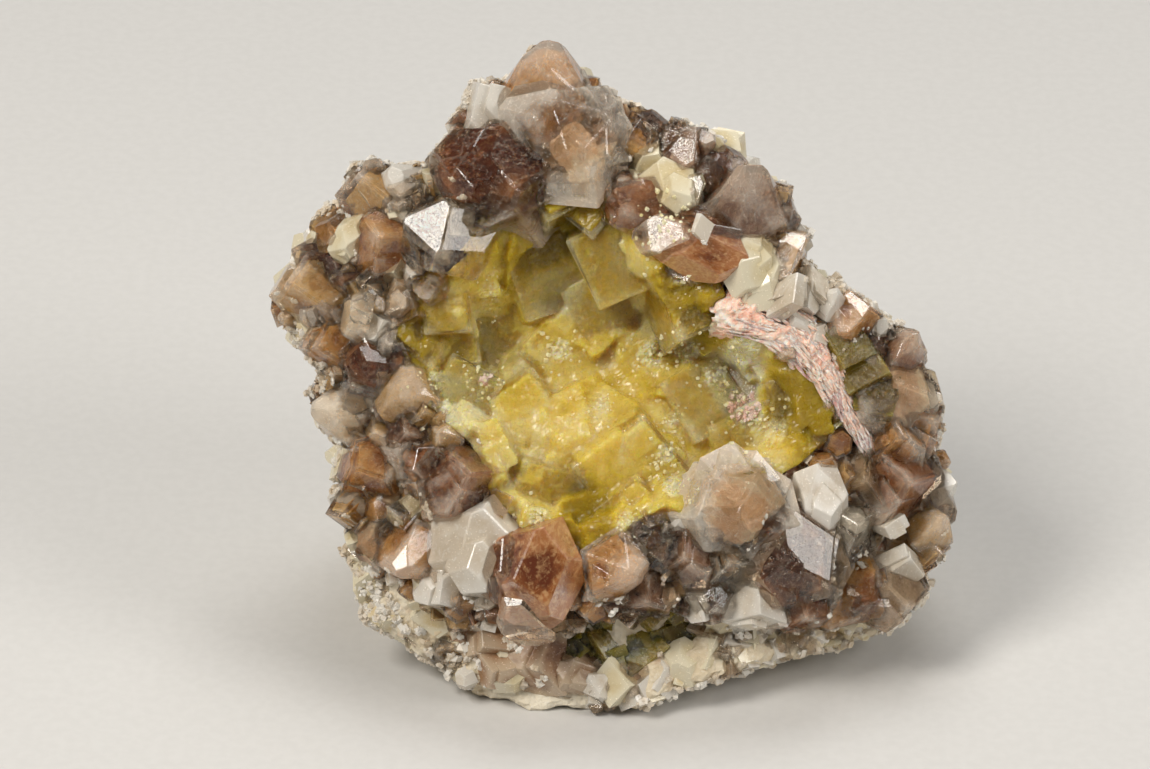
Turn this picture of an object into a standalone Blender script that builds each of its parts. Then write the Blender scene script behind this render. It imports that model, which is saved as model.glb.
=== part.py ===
"""Fluorite on calcite: a cabinet specimen that stands on its flat-cut base.

A pale calcite matrix carries a crust of brown calcite crystals. They ring a pocket lined with fluorite cubes.
Run with: blender --background --python part.py
"""
import math
import random
from collections import Counter, namedtuple

import bmesh
import bpy
from mathutils import Matrix, Vector, noise

# The shapes are worked out in millimetres and scaled to metres when they are done.
MM = 0.001

# The crystallised face leans back from upright. Its own axes are u to the right, v up the face
# and w out of the face. The floor is the plane z = 0.
LEAN = math.radians(30)
FACE_ORIGIN = Vector((-1.03, -32.27, 1.9))
ACROSS = Vector((1, 0, 0))
UP = Vector((0, math.sin(LEAN), math.cos(LEAN)))
OUT = Vector((0, -math.cos(LEAN), math.sin(LEAN)))
CENTRE = Vector((-0.7, 48.0))
GAP = 0.35

# Corners of the specimen's outline on the face as (u, v), anticlockwise from the right edge.
OUTLINE = (
    (50, 33), (50, 39), (48, 45), (46, 52), (43.5, 56), (40, 56), (36, 61), (31.5, 63), (30, 67.5), (26.5, 72),
    (26.5, 77), (20, 79), (12, 85), (2.5, 87), (-0.5, 90), (-8, 96.5), (-15, 93), (-21, 88), (-24, 80), (-31, 79.5),
    (-37, 78), (-38.5, 73), (-44.5, 71), (-44.5, 64.5), (-49.5, 61), (-49, 57), (-43.5, 52.5), (-43, 48), (-44, 43),
    (-39, 40), (-39, 35), (-39.5, 28), (-35, 20), (-34.5, 14), (-28.5, 10), (-21, 5), (-17.5, 1.5), (-9, 0.5),
    (-0.5, 0.5), (6.5, 1.5), (12, 4), (20.5, 6.5), (33, 9.5), (42.5, 13), (48, 20), (50, 26.5),
)
# Corners of the fluorite pocket, anticlockwise from its right end.
POCKET = (
    (30.5, 44), (29.5, 48.5), (22, 53.5), (15, 59.5), (9, 63), (4, 67), (1.5, 75), (-6, 77), (-12, 74), (-16.5, 68.5),
    (-23, 62), (-28.5, 56), (-29, 50), (-24, 44.5), (-17.5, 39.5), (-15, 32), (-9, 27.5), (-2, 25), (5, 28), (12, 30.5),
    (19, 33), (26, 36.5), (30, 40),
)
# Where the brown crust ends below, from left to right.
CRUST_FOOT = ((-46, 27), (-36, 22), (-22, 15), (-8.5, 12), (0, 15), (13.5, 15.5), (27.5, 16), (44, 15), (56, 14))

RIM_BACK = 4.0
CRUST_BACK = 2.6
POCKET_DEPTH = 12.0
LEDGE_TOP = 16.0
LEDGE_RECESS = 4.0
CRUST_THICK = 3.2
SIDE_FALL = 17.0
TOP_FALL = 6.0

# The back of the matrix is nearly upright, this far behind the foot of the face.
BACK_DEPTH = 59.0
RIM_THICK = 7.0
BACK_CRYSTALS = 26

SEGMENTS = 42

Crystal = namedtuple("Crystal", "u v size form aim lift spin stretch", defaults=((0, 0), 0.0, 0, (1, 1, 1)))

CROWN = (
    Crystal(-8.6, 88.6, 15, "tooth", (0.06, 1.2), 0.0, 20),
    Crystal(-16.4, 87.0, 12, "blunt", (-0.4, 0.9), 0.0, 75),
    Crystal(-16.6, 79.0, 17, "flat", (-0.35, 0.35), 0.14, 12, (1.1, 0.9, 1)),
    Crystal(-5.0, 83.6, 14, "knob", (0.0, 0.2), 0.2, 0, (1, 1, 0.8)),
    Crystal(-1.6, 88.0, 10, "blunt", (0.5, 0.9), 0.0, 50),
    Crystal(5.0, 84.0, 10, "flat", (0.3, 0.8), 0.0, 15),
    Crystal(11.5, 81.0, 9, "blunt", (0.5, 0.8), 0.0, 40),
    Crystal(15.6, 78.2, 9, "flat", (0.6, 0.8), 0.05, 5),
    Crystal(4.2, 78.2, 10, "lens", (0.0, 0.3), 0.0, 0, (1.5, 0.7, 0.7)),
    Crystal(-13.0, 73.2, 13, "lens", (0.1, -0.2), 0.1, 24, (1.5, 0.5, 0.8)),
    Crystal(-22.5, 79.0, 7, "tooth", (-0.8, 0.6), 0.0, 30),
)
UPPER_RIGHT = (
    Crystal(19.4, 71.2, 14, "tooth", (0.1, 0.75), 0.1, 15, (0.9, 0.7, 1.0)),
    Crystal(8.6, 74.0, 9, "flat", (-0.1, 0.1), 0.25, 40),
    Crystal(14.9, 74.2, 8, "lens", (0.0, 0.1), 0.35, 10, (0.9, 1.1, 0.8)),
    Crystal(5.0, 72.0, 10, "lens", (-0.1, 0.0), 0.1, 0, (1.1, 0.9, 0.8)),
    Crystal(13.2, 66.4, 15, "lens", (0.0, -0.1), 0.15, -15, (1.15, 0.75, 0.75)),
    Crystal(20.8, 64.4, 7, "knob", (0.2, 0.2), 0.35, 0, (0.9, 1.2, 0.9)),
    Crystal(23.6, 73.0, 9, "blade", (0.7, 0.7), 0.0, 60, (1, 2.0, 1)),
    Crystal(26.0, 66.2, 11, "blunt", (0.8, 0.5), -0.05, 30, (1, 0.7, 1)),
    Crystal(26.4, 59.6, 8, "rhomb", (0.1, 0.1), 0.3, 20, (1, 1, 0.9)),
    Crystal(29.4, 60.4, 7, "tooth", (0.3, 0.6), 0.2, 50, (0.8, 0.7, 1)),
)
RIGHT_FLANK = (
    Crystal(34.5, 56.0, 9, "blunt", (0.7, 0.4), 0.0, 10),
    Crystal(38.2, 52.8, 9, "flat", (0.7, 0.5), 0.0, 40),
    Crystal(42.0, 51.0, 9, "tooth", (0.7, 0.7), 0.0, 15, (1, 0.8, 0.9)),
    Crystal(41.6, 46.0, 13, "flat", (0.3, 0.25), 0.1, 30),
    Crystal(45.0, 41.0, 11, "blunt", (0.8, 0.1), 0.0, 55),
    Crystal(40.0, 38.6, 11, "blunt", (0.3, 0.2), 0.0, 5),
    Crystal(40.6, 33.0, 14, "blunt", (0.35, 0.0), 0.0, 38),
    Crystal(45.4, 32.4, 14, "flat", (0.9, 0.0), 0.0, 0, (0.8, 1.25, 1)),
    Crystal(45.4, 23.4, 9, "blunt", (0.9, -0.3), 0.0, 20),
    Crystal(39.8, 27.6, 8, "rhomb", (0.2, 0.3), 0.25, 35),
    Crystal(41.4, 21.2, 9, "blade", (0.3, 0.6), 0.1, -15, (1, 1.8, 1)),
    Crystal(45.4, 26.4, 7, "tooth", (0.6, 0.4), 0.2, 10),
    Crystal(41.0, 17.4, 10, "blunt", (0.6, -0.5), 0.0, 45),
    Crystal(36.4, 17.6, 9, "flat", (0.3, -0.4), 0.0, 10),
    Crystal(35.0, 22.6, 13, "lens", (0.2, -0.2), 0.05, 35, (1.1, 0.8, 0.6)),
    Crystal(36.0, 33.2, 9, "rhomb", (0.1, 0.0), 0.1, 12),
    Crystal(34.6, 27.4, 9, "blunt", (0.2, 0.0), 0.1, 60),
)
LOWER_RIGHT = (
    Crystal(29.8, 31.2, 9, "lens", (0.0, 0.1), 0.15, 0, (0.9, 1.2, 0.8)),
    Crystal(25.4, 22.6, 15, "flat", (0.0, -0.15), 0.12, 22),
    Crystal(18.4, 29.6, 12, "knob", (-0.1, -0.1), 0.25, 0, (1, 1, 0.85)),
    Crystal(30.6, 22.0, 10, "lens", (0.1, -0.2), 0.1, 0, (0.8, 1.2, 0.8)),
    Crystal(14.2, 18.2, 7, "flat", (0.0, -0.2), 0.3, 10),
    Crystal(17.6, 22.0, 8, "blunt", (0.0, 0.0), 0.1, 33),
    Crystal(11.6, 22.8, 10, "blunt", (-0.1, 0.0), 0.0, 8),
    Crystal(6.0, 23.4, 10, "flat", (0.0, 0.1), 0.0, 48),
    Crystal(1.2, 21.6, 11, "tooth", (0.7, -0.1), 0.1, 20, (1, 0.8, 0.8)),
    Crystal(5.4, 18.4, 9, "blunt", (0.1, -0.5), 0.0, 0),
    Crystal(21.0, 16.6, 8, "rhomb", (0.1, -0.4), 0.1, 25),
    Crystal(27.4, 16.2, 9, "blunt", (0.2, -0.5), 0.0, 14),
    Crystal(33.0, 16.0, 8, "lens", (0.2, -0.5), 0.0, 20, (1.3, 0.8, 0.7)),
)
LOWER_LEFT = (
    Crystal(-9.8, 20.6, 18, "lens", (0.0, -0.3), 0.12, 82, (1.0, 0.85, 0.75)),
    Crystal(-19.0, 23.8, 13, "flat", (-0.3, -0.2), 0.12, 15),
    Crystal(-27.0, 23.8, 10, "tooth", (-0.4, -0.5), 0.1, 25, (1, 0.9, 0.8)),
    Crystal(-27.6, 29.0, 8, "blade", (-0.5, 0.1), 0.2, 70, (1, 2.2, 1)),
    Crystal(-24.6, 36.2, 8, "knob", (-0.1, 0.1), 0.1, 0, (1, 1, 0.85)),
    Crystal(-19.8, 33.0, 12, "blunt", (0.2, 0.2), 0.0, 40),
    Crystal(-27.8, 40.0, 8, "blunt", (0.0, 0.0), 0.1, 15),
    Crystal(-27.6, 45.4, 10, "tooth", (0.0, 0.3), 0.0, 40, (1, 1, 0.8)),
    Crystal(-32.6, 35.0, 11, "blunt", (-0.5, 0.0), 0.0, 28),
    Crystal(-35.6, 29.8, 9, "blade", (-0.8, -0.3), 0.1, 95, (1, 2.4, 1)),
    Crystal(-32.4, 25.2, 9, "flat", (-0.6, -0.4), 0.0, 10),
    Crystal(-22.4, 18.6, 8, "blunt", (-0.2, -0.6), 0.0, 5),
)
LEFT_FLANK = (
    Crystal(-38.2, 42.6, 10, "tooth", (-1.0, 0.1), 0.0, 15, (1, 0.9, 0.9)),
    Crystal(-34.0, 45.6, 9, "blunt", (-0.3, 0.2), 0.0, 33),
    Crystal(-31.8, 50.4, 11, "flat", (-0.2, 0.0), 0.05, 50),
    Crystal(-38.0, 52.6, 9, "blunt", (-0.7, -0.1), 0.0, 12),
    Crystal(-33.0, 56.0, 9, "lens", (-0.2, 0.2), 0.0, 0, (1.1, 0.9, 0.8)),
    Crystal(-31.0, 59.8, 9, "lens", (0.1, 0.0), 0.2, 30, (1.2, 0.9, 0.8)),
    Crystal(-41.4, 60.4, 12, "blunt", (-0.8, 0.2), 0.0, 25),
    Crystal(-45.6, 59.0, 10, "knob", (-0.9, -0.3), 0.05, 0, (1.1, 1, 0.9)),
    Crystal(-38.6, 64.2, 10, "flat", (-0.4, 0.4), 0.05, 5, (1.2, 0.8, 1)),
    Crystal(-30.2, 66.8, 12, "blunt", (-0.2, 0.1), 0.05, 50),
    Crystal(-35.6, 67.6, 7, "lens", (-0.2, 0.2), 0.25, 60, (1.1, 0.8, 0.8)),
    Crystal(-38.6, 69.4, 9, "flat", (-0.6, 0.6), 0.0, 20),
    Crystal(-33.2, 74.0, 10, "blunt", (-0.6, 0.7), 0.0, 38),
    Crystal(-28.4, 75.0, 7, "tooth", (-0.4, 0.8), 0.0, 10, (1, 1, 0.8)),
    Crystal(-21.8, 68.0, 12, "lens", (0.1, 0.0), 0.15, 10, (1.1, 1.0, 0.8)),
    Crystal(-26.0, 71.0, 8, "knob", (-0.2, 0.3), 0.0, 0, (1, 1, 0.9)),
)
BROWN_CRYSTALS = CROWN + UPPER_RIGHT + RIGHT_FLANK + LOWER_RIGHT + LOWER_LEFT + LEFT_FLANK

LEDGE_CRYSTALS = (
    Crystal(-12.0, 7.0, 13, "rhomb", (-0.1, -0.2), 0.1, 10, (1.1, 1, 0.8)),
    Crystal(-6.2, 8.0, 8, "blunt", (0.1, -0.3), 0.0, 30),
    Crystal(-17.4, 10.4, 9, "flat", (-0.2, -0.2), 0.0, 10),
    Crystal(-4.4, 4.4, 8, "lens", (0.1, -0.4), 0.0, 0, (1.2, 0.8, 0.8)),
)
# Rounded lumps of the pale matrix where it shows under the crust.
MATRIX_LUMPS = (
    Crystal(-29.6, 15.6, 13, "lens", (-0.5, -0.4), 0.0, 0, (0.9, 1.1, 0.7)),
    Crystal(-24.0, 11.0, 10, "lens", (-0.4, -0.5), 0.0, 0, (1.1, 0.9, 0.8)),
    Crystal(-18.2, 5.4, 8, "lens", (-0.3, -0.5), 0.0, 0, (1.2, 0.9, 0.8)),
    Crystal(6.8, 4.8, 9, "lens", (0.1, -0.5), 0.0, 35, (1.3, 0.7, 0.8)),
    Crystal(13.6, 7.4, 9, "lens", (0.1, -0.5), 0.0, 20, (1.2, 0.8, 0.8)),
    Crystal(20.6, 9.0, 8, "lens", (0.2, -0.5), 0.0, 15, (1.2, 0.8, 0.8)),
    Crystal(28.4, 10.4, 8, "lens", (0.3, -0.6), 0.0, 15, (1.2, 0.8, 0.8)),
    Crystal(36.0, 12.6, 8, "lens", (0.3, -0.6), 0.0, 15, (1.2, 0.8, 0.8)),
)

Cube = namedtuple("Cube", "u v size rise turn tip")

POCKET_CUBES = (
    Cube(-10.4, 65.6, 13, 0.0, 20, (0.35, -0.25)),
    Cube(-7.6, 73.0, 9, 0.5, 24, (0.1, 0.5)),
    Cube(-2.6, 71.6, 9, 0.5, 62, (-0.2, 0.3)),
    Cube(-5.0, 60.4, 7, 2.2, 35, (0.1, 0.2)),
    Cube(-20.6, 57.0, 10, 1.0, 8, (0.25, 0.3)),
    Cube(-26.0, 54.0, 7, 0.4, 40, (0.3, 0.2)),
    Cube(-15.4, 54.4, 9, 0.5, 12, (-0.3, 0.2)),
    Cube(2.0, 63.0, 11, 0.0, 40, (0.3, 0.4)),
    Cube(11.6, 58.6, 10, 0.0, 15, (0.2, 0.5)),
    Cube(4.6, 56.0, 12, 0.3, 70, (-0.2, 0.3)),
    Cube(-9.0, 53.0, 10, 0.0, 44, (0.2, -0.2)),
    Cube(-10.6, 40.0, 14, 0.5, 28, (0.35, 0.2)),
    Cube(-0.6, 45.6, 12, 1.5, 60, (-0.3, 0.25)),
    Cube(10.2, 41.8, 13, 0.8, 10, (0.25, -0.3)),
    Cube(18.8, 46.0, 10, 0.2, 33, (-0.2, 0.3)),
    Cube(-2.0, 33.0, 12, 0.3, 76, (0.2, 0.3)),
    Cube(8.2, 33.4, 11, 0.4, 48, (0.3, -0.2)),
    Cube(19.4, 38.0, 10, 0.3, 20, (0.1, 0.4)),
    Cube(-12.0, 33.0, 8, 0.0, 5, (0.2, 0.1)),
    Cube(-20.4, 46.0, 9, 0.0, 52, (0.3, 0.2)),
    Cube(26.4, 43.8, 7, 0.3, 40, (0.2, 0.2)),
    Cube(-2.6, 28.0, 7, -0.3, 12, (0.2, -0.3)),
)
LOWER_CUBES = (
    Cube(0.6, 10.6, 6, 0.4, 20, (0.3, 0.2)),
    Cube(4.6, 9.6, 7, 0.4, 50, (-0.2, 0.3)),
    Cube(9.2, 11.0, 6, 0.4, 10, (0.3, -0.2)),
    Cube(13.4, 11.6, 6, 0.4, 65, (0.2, 0.3)),
)
SIDE_CUBES = (
    Cube(33.6, 52.2, 6, 2.0, 15, (0.3, 0.2)),
    Cube(36.2, 48.8, 7, 2.2, 40, (-0.2, 0.3)),
    Cube(37.6, 44.8, 6, 2.4, 70, (0.2, 0.3)),
)

# Centre line of the fibrous pink vein as (u, v, half width).
VEIN = (
    (14.0, 56.0, 2.4), (18.5, 57.2, 4.2), (23.0, 56.2, 4.6), (27.5, 53.4, 4.0), (31.0, 49.2, 3.0), (33.6, 45.0, 2.6),
    (35.6, 41.4, 2.0), (37.0, 38.6, 1.4),
)
VEIN_HEIGHT = 3.4


def smoothstep(low, high, x):
    t = min(1.0, max(0.0, (x - low) / (high - low)))
    return t * t * (3 - 2 * t)


def crossing(corners, angle):
    """Distance from CENTRE at which a ray first meets a line through corners, or None where it misses."""
    ray = Vector((math.cos(angle), math.sin(angle)))
    for first, second in zip(corners, corners[1:]):
        a, b = Vector(first) - CENTRE, Vector(second) - CENTRE
        if ray.cross(a) <= 0 < ray.cross(b) and ray.dot(a + b) > 0:
            return a.cross(b) / ray.cross(b - a)
    return None


def reach(angle):
    return crossing(OUTLINE + OUTLINE[:1], angle)


def matrix_reach(angle):
    """The matrix stays behind the outline, except along the foot where it shows."""
    foot = smoothstep(0.6, 0.85, -math.sin(angle))
    return reach(angle) - RIM_BACK * (1 - 0.8 * foot)


def pocket_reach(angle):
    return crossing(POCKET + POCKET[:1], angle)


def crust_reach(angle):
    foot = crossing(CRUST_FOOT, angle)
    edge = reach(angle) - CRUST_BACK
    return edge if foot is None else min(edge, foot)


def carrier(u, v):
    """Height w of the specimen's broad, domed front, before the pocket is sunk in it."""
    side = SIDE_FALL * ((u - 1.0) / 50) ** 2
    top = TOP_FALL * (max(0.0, v - 52) / 42) ** 2
    return -side - top


def pocket_share(u, v):
    """1 on the pocket's floor, falling to 0 at its rim."""
    offset = Vector((u, v)) - CENTRE
    if offset.length < 1e-6:
        return 1.0
    return 1 - smoothstep(0.5, 1.0, offset.length / pocket_reach(math.atan2(offset.y, offset.x)))


def rough(u, v, scale, seed):
    return noise.noise(Vector((u / scale, v / scale, seed)))


def matrix_front(u, v):
    ledge = LEDGE_RECESS * (1 - smoothstep(LEDGE_TOP - 4, LEDGE_TOP + 2, v))
    return carrier(u, v) - POCKET_DEPTH * pocket_share(u, v) - ledge + 0.9 * rough(u, v, 9, 3.0)


def crust_top(u, v):
    return matrix_front(u, v) + CRUST_THICK + 0.8 * rough(u, v, 5, 7.0)


def fluorite_top(u, v):
    """The cubes stand on two terraces, a sunken one above and a swelling one below."""
    swelling = 7.5 * math.exp(-((u - 1) / 20) ** 2 - ((v - 38) / 10.5) ** 2)
    return max(carrier(u, v) - 9.0 + swelling, matrix_front(u, v) + 2.4)


def matrix_back(u, v, share):
    """The back of the matrix, nearly upright and rounded towards the rim. share is 0 at CENTRE and 1 at the rim."""
    upright = -(BACK_DEPTH - v * math.sin(LEAN)) / math.cos(LEAN)
    edge = matrix_front(u, v) - RIM_THICK
    depth = math.sqrt(max(0.0, 1 - share ** 2.6))
    return edge + (min(upright, edge) - edge) * depth + 1.6 * rough(u, v, 11, 12.0)


def place(u, v, w):
    """A point given on the face, in the specimen's own frame."""
    return FACE_ORIGIN + ACROSS * u + UP * v + OUT * w


def on_face(point):
    """The (u, v) of a point given in the specimen's own frame."""
    offset = point - FACE_ORIGIN
    return Vector((offset.dot(ACROSS), offset.dot(UP)))


def direction(tilt, azimuth):
    """Unit vector tilted from a crystal's long axis, in degrees."""
    t, a = math.radians(tilt), math.radians(azimuth)
    return Vector((math.sin(t) * math.cos(a), math.sin(t) * math.sin(a), math.cos(t)))


def threefold(tilt, distance, start=0, split=0):
    """Three faces round the long axis, or six where split parts each into two."""
    turns = (-split, split) if split else (0,)
    return [(direction(tilt, start + 120 * k + s), distance) for k in range(3) for s in turns]


def knobbly(count):
    """Faces spread evenly over a ball, at slightly different distances."""
    golden = math.pi * (3 - math.sqrt(5))
    faces = []
    for k in range(count):
        z = 1 - 2 * (k + 0.5) / count
        ring = math.sqrt(1 - z * z)
        normal = Vector((ring * math.cos(golden * k), ring * math.sin(golden * k), z))
        faces.append((normal, 0.9 + 0.05 * (k % 3)))
    return faces


def slab():
    """A thin plate with a four-sided outline that comes to a point at each end."""
    sides = [(Vector((0, s, 0)), 0.16) for s in (-1, 1)]
    return sides + [(Vector((0.82 * a, 0, 0.57 * b)), 0.72) for a in (-1, 1) for b in (-1, 1)]


FOOT = (Vector((0, 0, -1)), 0.9)
# Each form as its faces: outward direction, and distance from the centre as a share of half the size.
FORMS = {
    "tooth": threefold(64, 0.95, 0, 19) + threefold(118, 0.95, 60, 19) + threefold(44, 1.12, 60) + [FOOT],
    "blunt": threefold(82, 0.95, 0, 29) + threefold(52, 0.80, 25) + [FOOT],
    "flat": threefold(78, 0.95, 0, 30) + threefold(30, 0.62, 10) + [FOOT],
    "rhomb": threefold(50, 0.78) + threefold(130, 0.78, 60),
    "blade": slab(),
    "lens": knobbly(15),
    "knob": knobbly(20),
}


def convex(faces):
    """The solid that lies behind every face plane."""
    bm = bmesh.new()
    bmesh.ops.create_cube(bm, size=6)
    for normal, distance in faces:
        everything = bm.verts[:] + bm.edges[:] + bm.faces[:]
        bmesh.ops.bisect_plane(bm, geom=everything, plane_co=normal * distance, plane_no=normal, clear_outer=True)
        bmesh.ops.holes_fill(bm, edges=[e for e in bm.edges if e.is_boundary])
    bmesh.ops.remove_doubles(bm, verts=bm.verts[:], dist=1e-3)
    return bm


def aimed(aim, spin, outward=1):
    """Rotation that lays a crystal's long axis along aim, given as its lean across and up the face."""
    along = (ACROSS * aim[0] + UP * aim[1] + OUT * outward).normalized()
    return along.to_track_quat("Z", "Y").to_matrix() @ Matrix.Rotation(math.radians(spin), 3, "Z")


def crystal_shape(crystal, seat, turn, grow=0.0):
    """One crystal as a mesh, larger all round by grow."""
    half = crystal.size / 2
    extra = grow / (half * min(crystal.stretch))
    shape = convex([(normal, distance + extra) for normal, distance in FORMS[crystal.form]])
    size = Matrix.Diagonal((*[half * s for s in crystal.stretch], 1))
    shape.transform(Matrix.Translation(seat) @ turn.to_4x4() @ size)
    return shape


def overhang(shape):
    """The shift that brings a shape back inside the outline."""
    most, shift = 0.0, Vector((0, 0, 0))
    for vert in shape.verts:
        offset = on_face(vert.co) - CENTRE
        over = offset.length - reach(math.atan2(offset.y, offset.x))
        if over > most:
            most = over
            away = offset.normalized()
            shift = -(ACROSS * away.x + UP * away.y) * over
    return shift


def add_crystal(bm, crystal, height, grow=0.0):
    """Adds one crystal to bm, seated on the surface w = height(u, v)."""
    seat = place(crystal.u, crystal.v, height(crystal.u, crystal.v) + crystal.lift * crystal.size)
    turn = aimed(crystal.aim, crystal.spin)
    for _ in range(2):
        trial = crystal_shape(crystal, seat, turn)
        seat = seat + overhang(trial)
        trial.free()
    add_mesh(bm, crystal_shape(crystal, seat, turn, grow))


def add_cube(bm, cube, height, grow=0.0):
    """Adds one fluorite cube to bm, turned on the face and tipped so that its corners show."""
    seat = place(cube.u, cube.v, height(cube.u, cube.v) + cube.rise - 0.3 * cube.size)
    shape = bmesh.new()
    bmesh.ops.create_cube(shape, size=cube.size + 2 * grow)
    shape.transform(Matrix.Translation(seat) @ aimed(cube.tip, cube.turn).to_4x4())
    add_mesh(bm, shape)


def add_mesh(bm, shape):
    """Copies shape into bm as a further body, and frees it."""
    copy = bpy.data.meshes.new("copy")
    shape.to_mesh(copy)
    shape.free()
    bm.from_mesh(copy)
    bpy.data.meshes.remove(copy)


def add_solid(bm, inner, outer, rings, top, bottom):
    """Adds a closed disc to bm, or a ring where inner is given. inner and outer are its edges by angle."""
    layers = []
    for height in (top, bottom):
        layer = []
        for k in range(rings + 1):
            share = k / rings
            row = []
            for s in range(SEGMENTS):
                angle = 2 * math.pi * s / SEGMENTS
                low = inner(angle) if inner else 0.0
                radius = low + (outer(angle) - low) * share
                if radius == 0.0 and row:
                    row.append(row[0])
                    continue
                u, v = CENTRE.x + radius * math.cos(angle), CENTRE.y + radius * math.sin(angle)
                row.append(bm.verts.new(place(u, v, height(u, v, share))))
            layer.append(row)
        layers.append(layer)
    upper, lower = layers
    for k in range(rings):
        join_rows(bm, upper[k], upper[k + 1])
        join_rows(bm, lower[k + 1], lower[k])
    join_rows(bm, upper[-1], lower[-1])
    if inner:
        join_rows(bm, lower[0], upper[0])


def join_rows(bm, first, second):
    """Bridges two closed rows of points, with triangles where a row is one point."""
    for s in range(SEGMENTS):
        t = (s + 1) % SEGMENTS
        corners = []
        for vert in (first[s], second[s], second[t], first[t]):
            if vert not in corners:
                corners.append(vert)
        bm.faces.new(corners)


def as_object(name, bm):
    mesh = bpy.data.meshes.new(name)
    bmesh.ops.triangulate(bm, faces=[face for face in bm.faces if len(face.verts) == 4])
    bmesh.ops.recalc_face_normals(bm, faces=bm.faces[:])
    bm.to_mesh(mesh)
    bm.free()
    obj = bpy.data.objects.new(name, mesh)
    bpy.context.scene.collection.objects.link(obj)
    return obj


def is_closed(mesh):
    """Whether every edge joins exactly two faces."""
    uses = Counter(key for polygon in mesh.polygons for key in polygon.edge_keys)
    return all(count == 2 for count in uses.values())


def combine(obj, other, operation, overlaps=False):
    """Joins other to obj or cuts it away. overlaps says that a mesh crosses itself."""
    for solver in ("EXACT", "MANIFOLD"):
        modifier = obj.modifiers.new("combine", "BOOLEAN")
        modifier.object = other
        modifier.operation = operation
        modifier.solver = solver
        if solver == "EXACT":
            modifier.use_self = overlaps
        bpy.context.view_layer.update()
        made = bpy.data.meshes.new_from_object(obj.evaluated_get(bpy.context.evaluated_depsgraph_get()))
        obj.modifiers.clear()
        # The exact solver can leave an edge open where faces nearly touch.
        if is_closed(made):
            break
    obj.data = made


def join(obj, other, overlaps=True):
    combine(obj, other, "UNION", overlaps)
    bpy.data.objects.remove(other)


def cut(obj, *cutters):
    for cutter in cutters:
        combine(obj, cutter, "DIFFERENCE")


def keep_largest(obj):
    """Drops the chips that a cut leaves loose."""
    bm = bmesh.new()
    bm.from_mesh(obj.data)
    seen, bodies = set(), []
    for start in bm.verts:
        if start in seen:
            continue
        body, waiting = [], [start]
        seen.add(start)
        while waiting:
            vert = waiting.pop()
            body.append(vert)
            near = [edge.other_vert(vert) for edge in vert.link_edges]
            waiting += [other for other in near if other not in seen]
            seen.update(near)
        bodies.append(body)
    bodies.sort(key=len)
    bmesh.ops.delete(bm, geom=[vert for body in bodies[:-1] for vert in body], context="VERTS")
    bm.to_mesh(obj.data)
    bm.free()


def crystals_object(name, crystals, height, grow=0.0):
    bm = bmesh.new()
    for crystal in crystals:
        add_crystal(bm, crystal, height, grow)
    return as_object(name, bm)


def cubes_object(name, cubes, height, grow=0.0):
    bm = bmesh.new()
    for cube in cubes:
        add_cube(bm, cube, height, grow)
    return as_object(name, bm)


def matrix_solid(grow=0.0):
    """The matrix without the crystals on it, larger all round by grow."""
    bm = bmesh.new()
    add_solid(
        bm, None, lambda angle: matrix_reach(angle) + grow, 7,
        lambda u, v, share: matrix_front(u, v) + grow,
        lambda u, v, share: matrix_back(u, v, share) - grow,
    )
    return as_object("matrix", bm)


def add_back_crystals(bm, grow=0.0):
    """Blunt crystals on the back of the matrix, spread by the golden angle."""
    draw = random.Random(5)
    golden = math.pi * (3 - math.sqrt(5))
    for k in range(BACK_CRYSTALS):
        share = math.sqrt((k + 0.6) / BACK_CRYSTALS) * 0.93
        angle = golden * k
        radius = share * matrix_reach(angle)
        u, v = CENTRE.x + radius * math.cos(angle), CENTRE.y + radius * math.sin(angle)
        aim = (draw.uniform(-0.4, 0.4) + u / 60, draw.uniform(-0.4, 0.4) + (v - 47) / 60)
        crystal = Crystal(u, v, draw.uniform(10, 16), draw.choice(("blunt", "tooth", "flat")), aim)
        turn = aimed(aim, draw.uniform(0, 120), -1)
        seat = place(u, v, matrix_back(u, v, share) + 0.18 * crystal.size)
        trial = crystal_shape(crystal, seat, turn)
        seat = seat + overhang(trial)
        trial.free()
        add_mesh(bm, crystal_shape(crystal, seat, turn, grow))


def floor_block():
    """Everything below the floor, to cut the base flat."""
    bm = bmesh.new()
    bmesh.ops.create_cube(bm, size=400)
    bmesh.ops.translate(bm, verts=bm.verts[:], vec=(0, 0, -200))
    return as_object("floor_block", bm)


def crust_solid(grow=0.0):
    bm = bmesh.new()
    add_solid(
        bm, lambda angle: pocket_reach(angle) - 0.5 - grow, lambda angle: crust_reach(angle) + grow, 3,
        lambda u, v, share: crust_top(u, v) - 1.6 * share ** 6 + grow,
        lambda u, v, share: matrix_front(u, v) - 2.0 - grow,
    )
    return as_object("crust", bm)


def brown_raw(grow=0.0):
    """The brown crust and its crystals, larger all round by grow, with their roots still inside the matrix."""
    obj = crust_solid(grow)
    join(obj, crystals_object("crystals", BROWN_CRYSTALS, crust_top, grow))
    return obj


def ledge_raw(grow=0.0):
    """The lower tier of crystals, under the brown crust."""
    obj = crystals_object("ledge", LEDGE_CRYSTALS[:1], matrix_front, grow)
    join(obj, crystals_object("others", LEDGE_CRYSTALS[1:], matrix_front, grow))
    return obj


def fluorite_raw(grow=0.0):
    """The pocket's floor of fluorite with its cubes."""
    bm = bmesh.new()
    add_solid(
        bm, None, lambda angle: pocket_reach(angle) + 1.5 + grow, 4,
        lambda u, v, share: fluorite_top(u, v) + grow,
        lambda u, v, share: matrix_front(u, v) - 2.0 - grow,
    )
    obj = as_object("floor", bm)
    join(obj, cubes_object("cubes", POCKET_CUBES, fluorite_top, grow))
    return obj


def cubes_raw(cubes, height, grow=0.0):
    obj = cubes_object("cubes", cubes[:1], height, grow)
    join(obj, cubes_object("others", cubes[1:], height, grow))
    return obj


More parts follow.
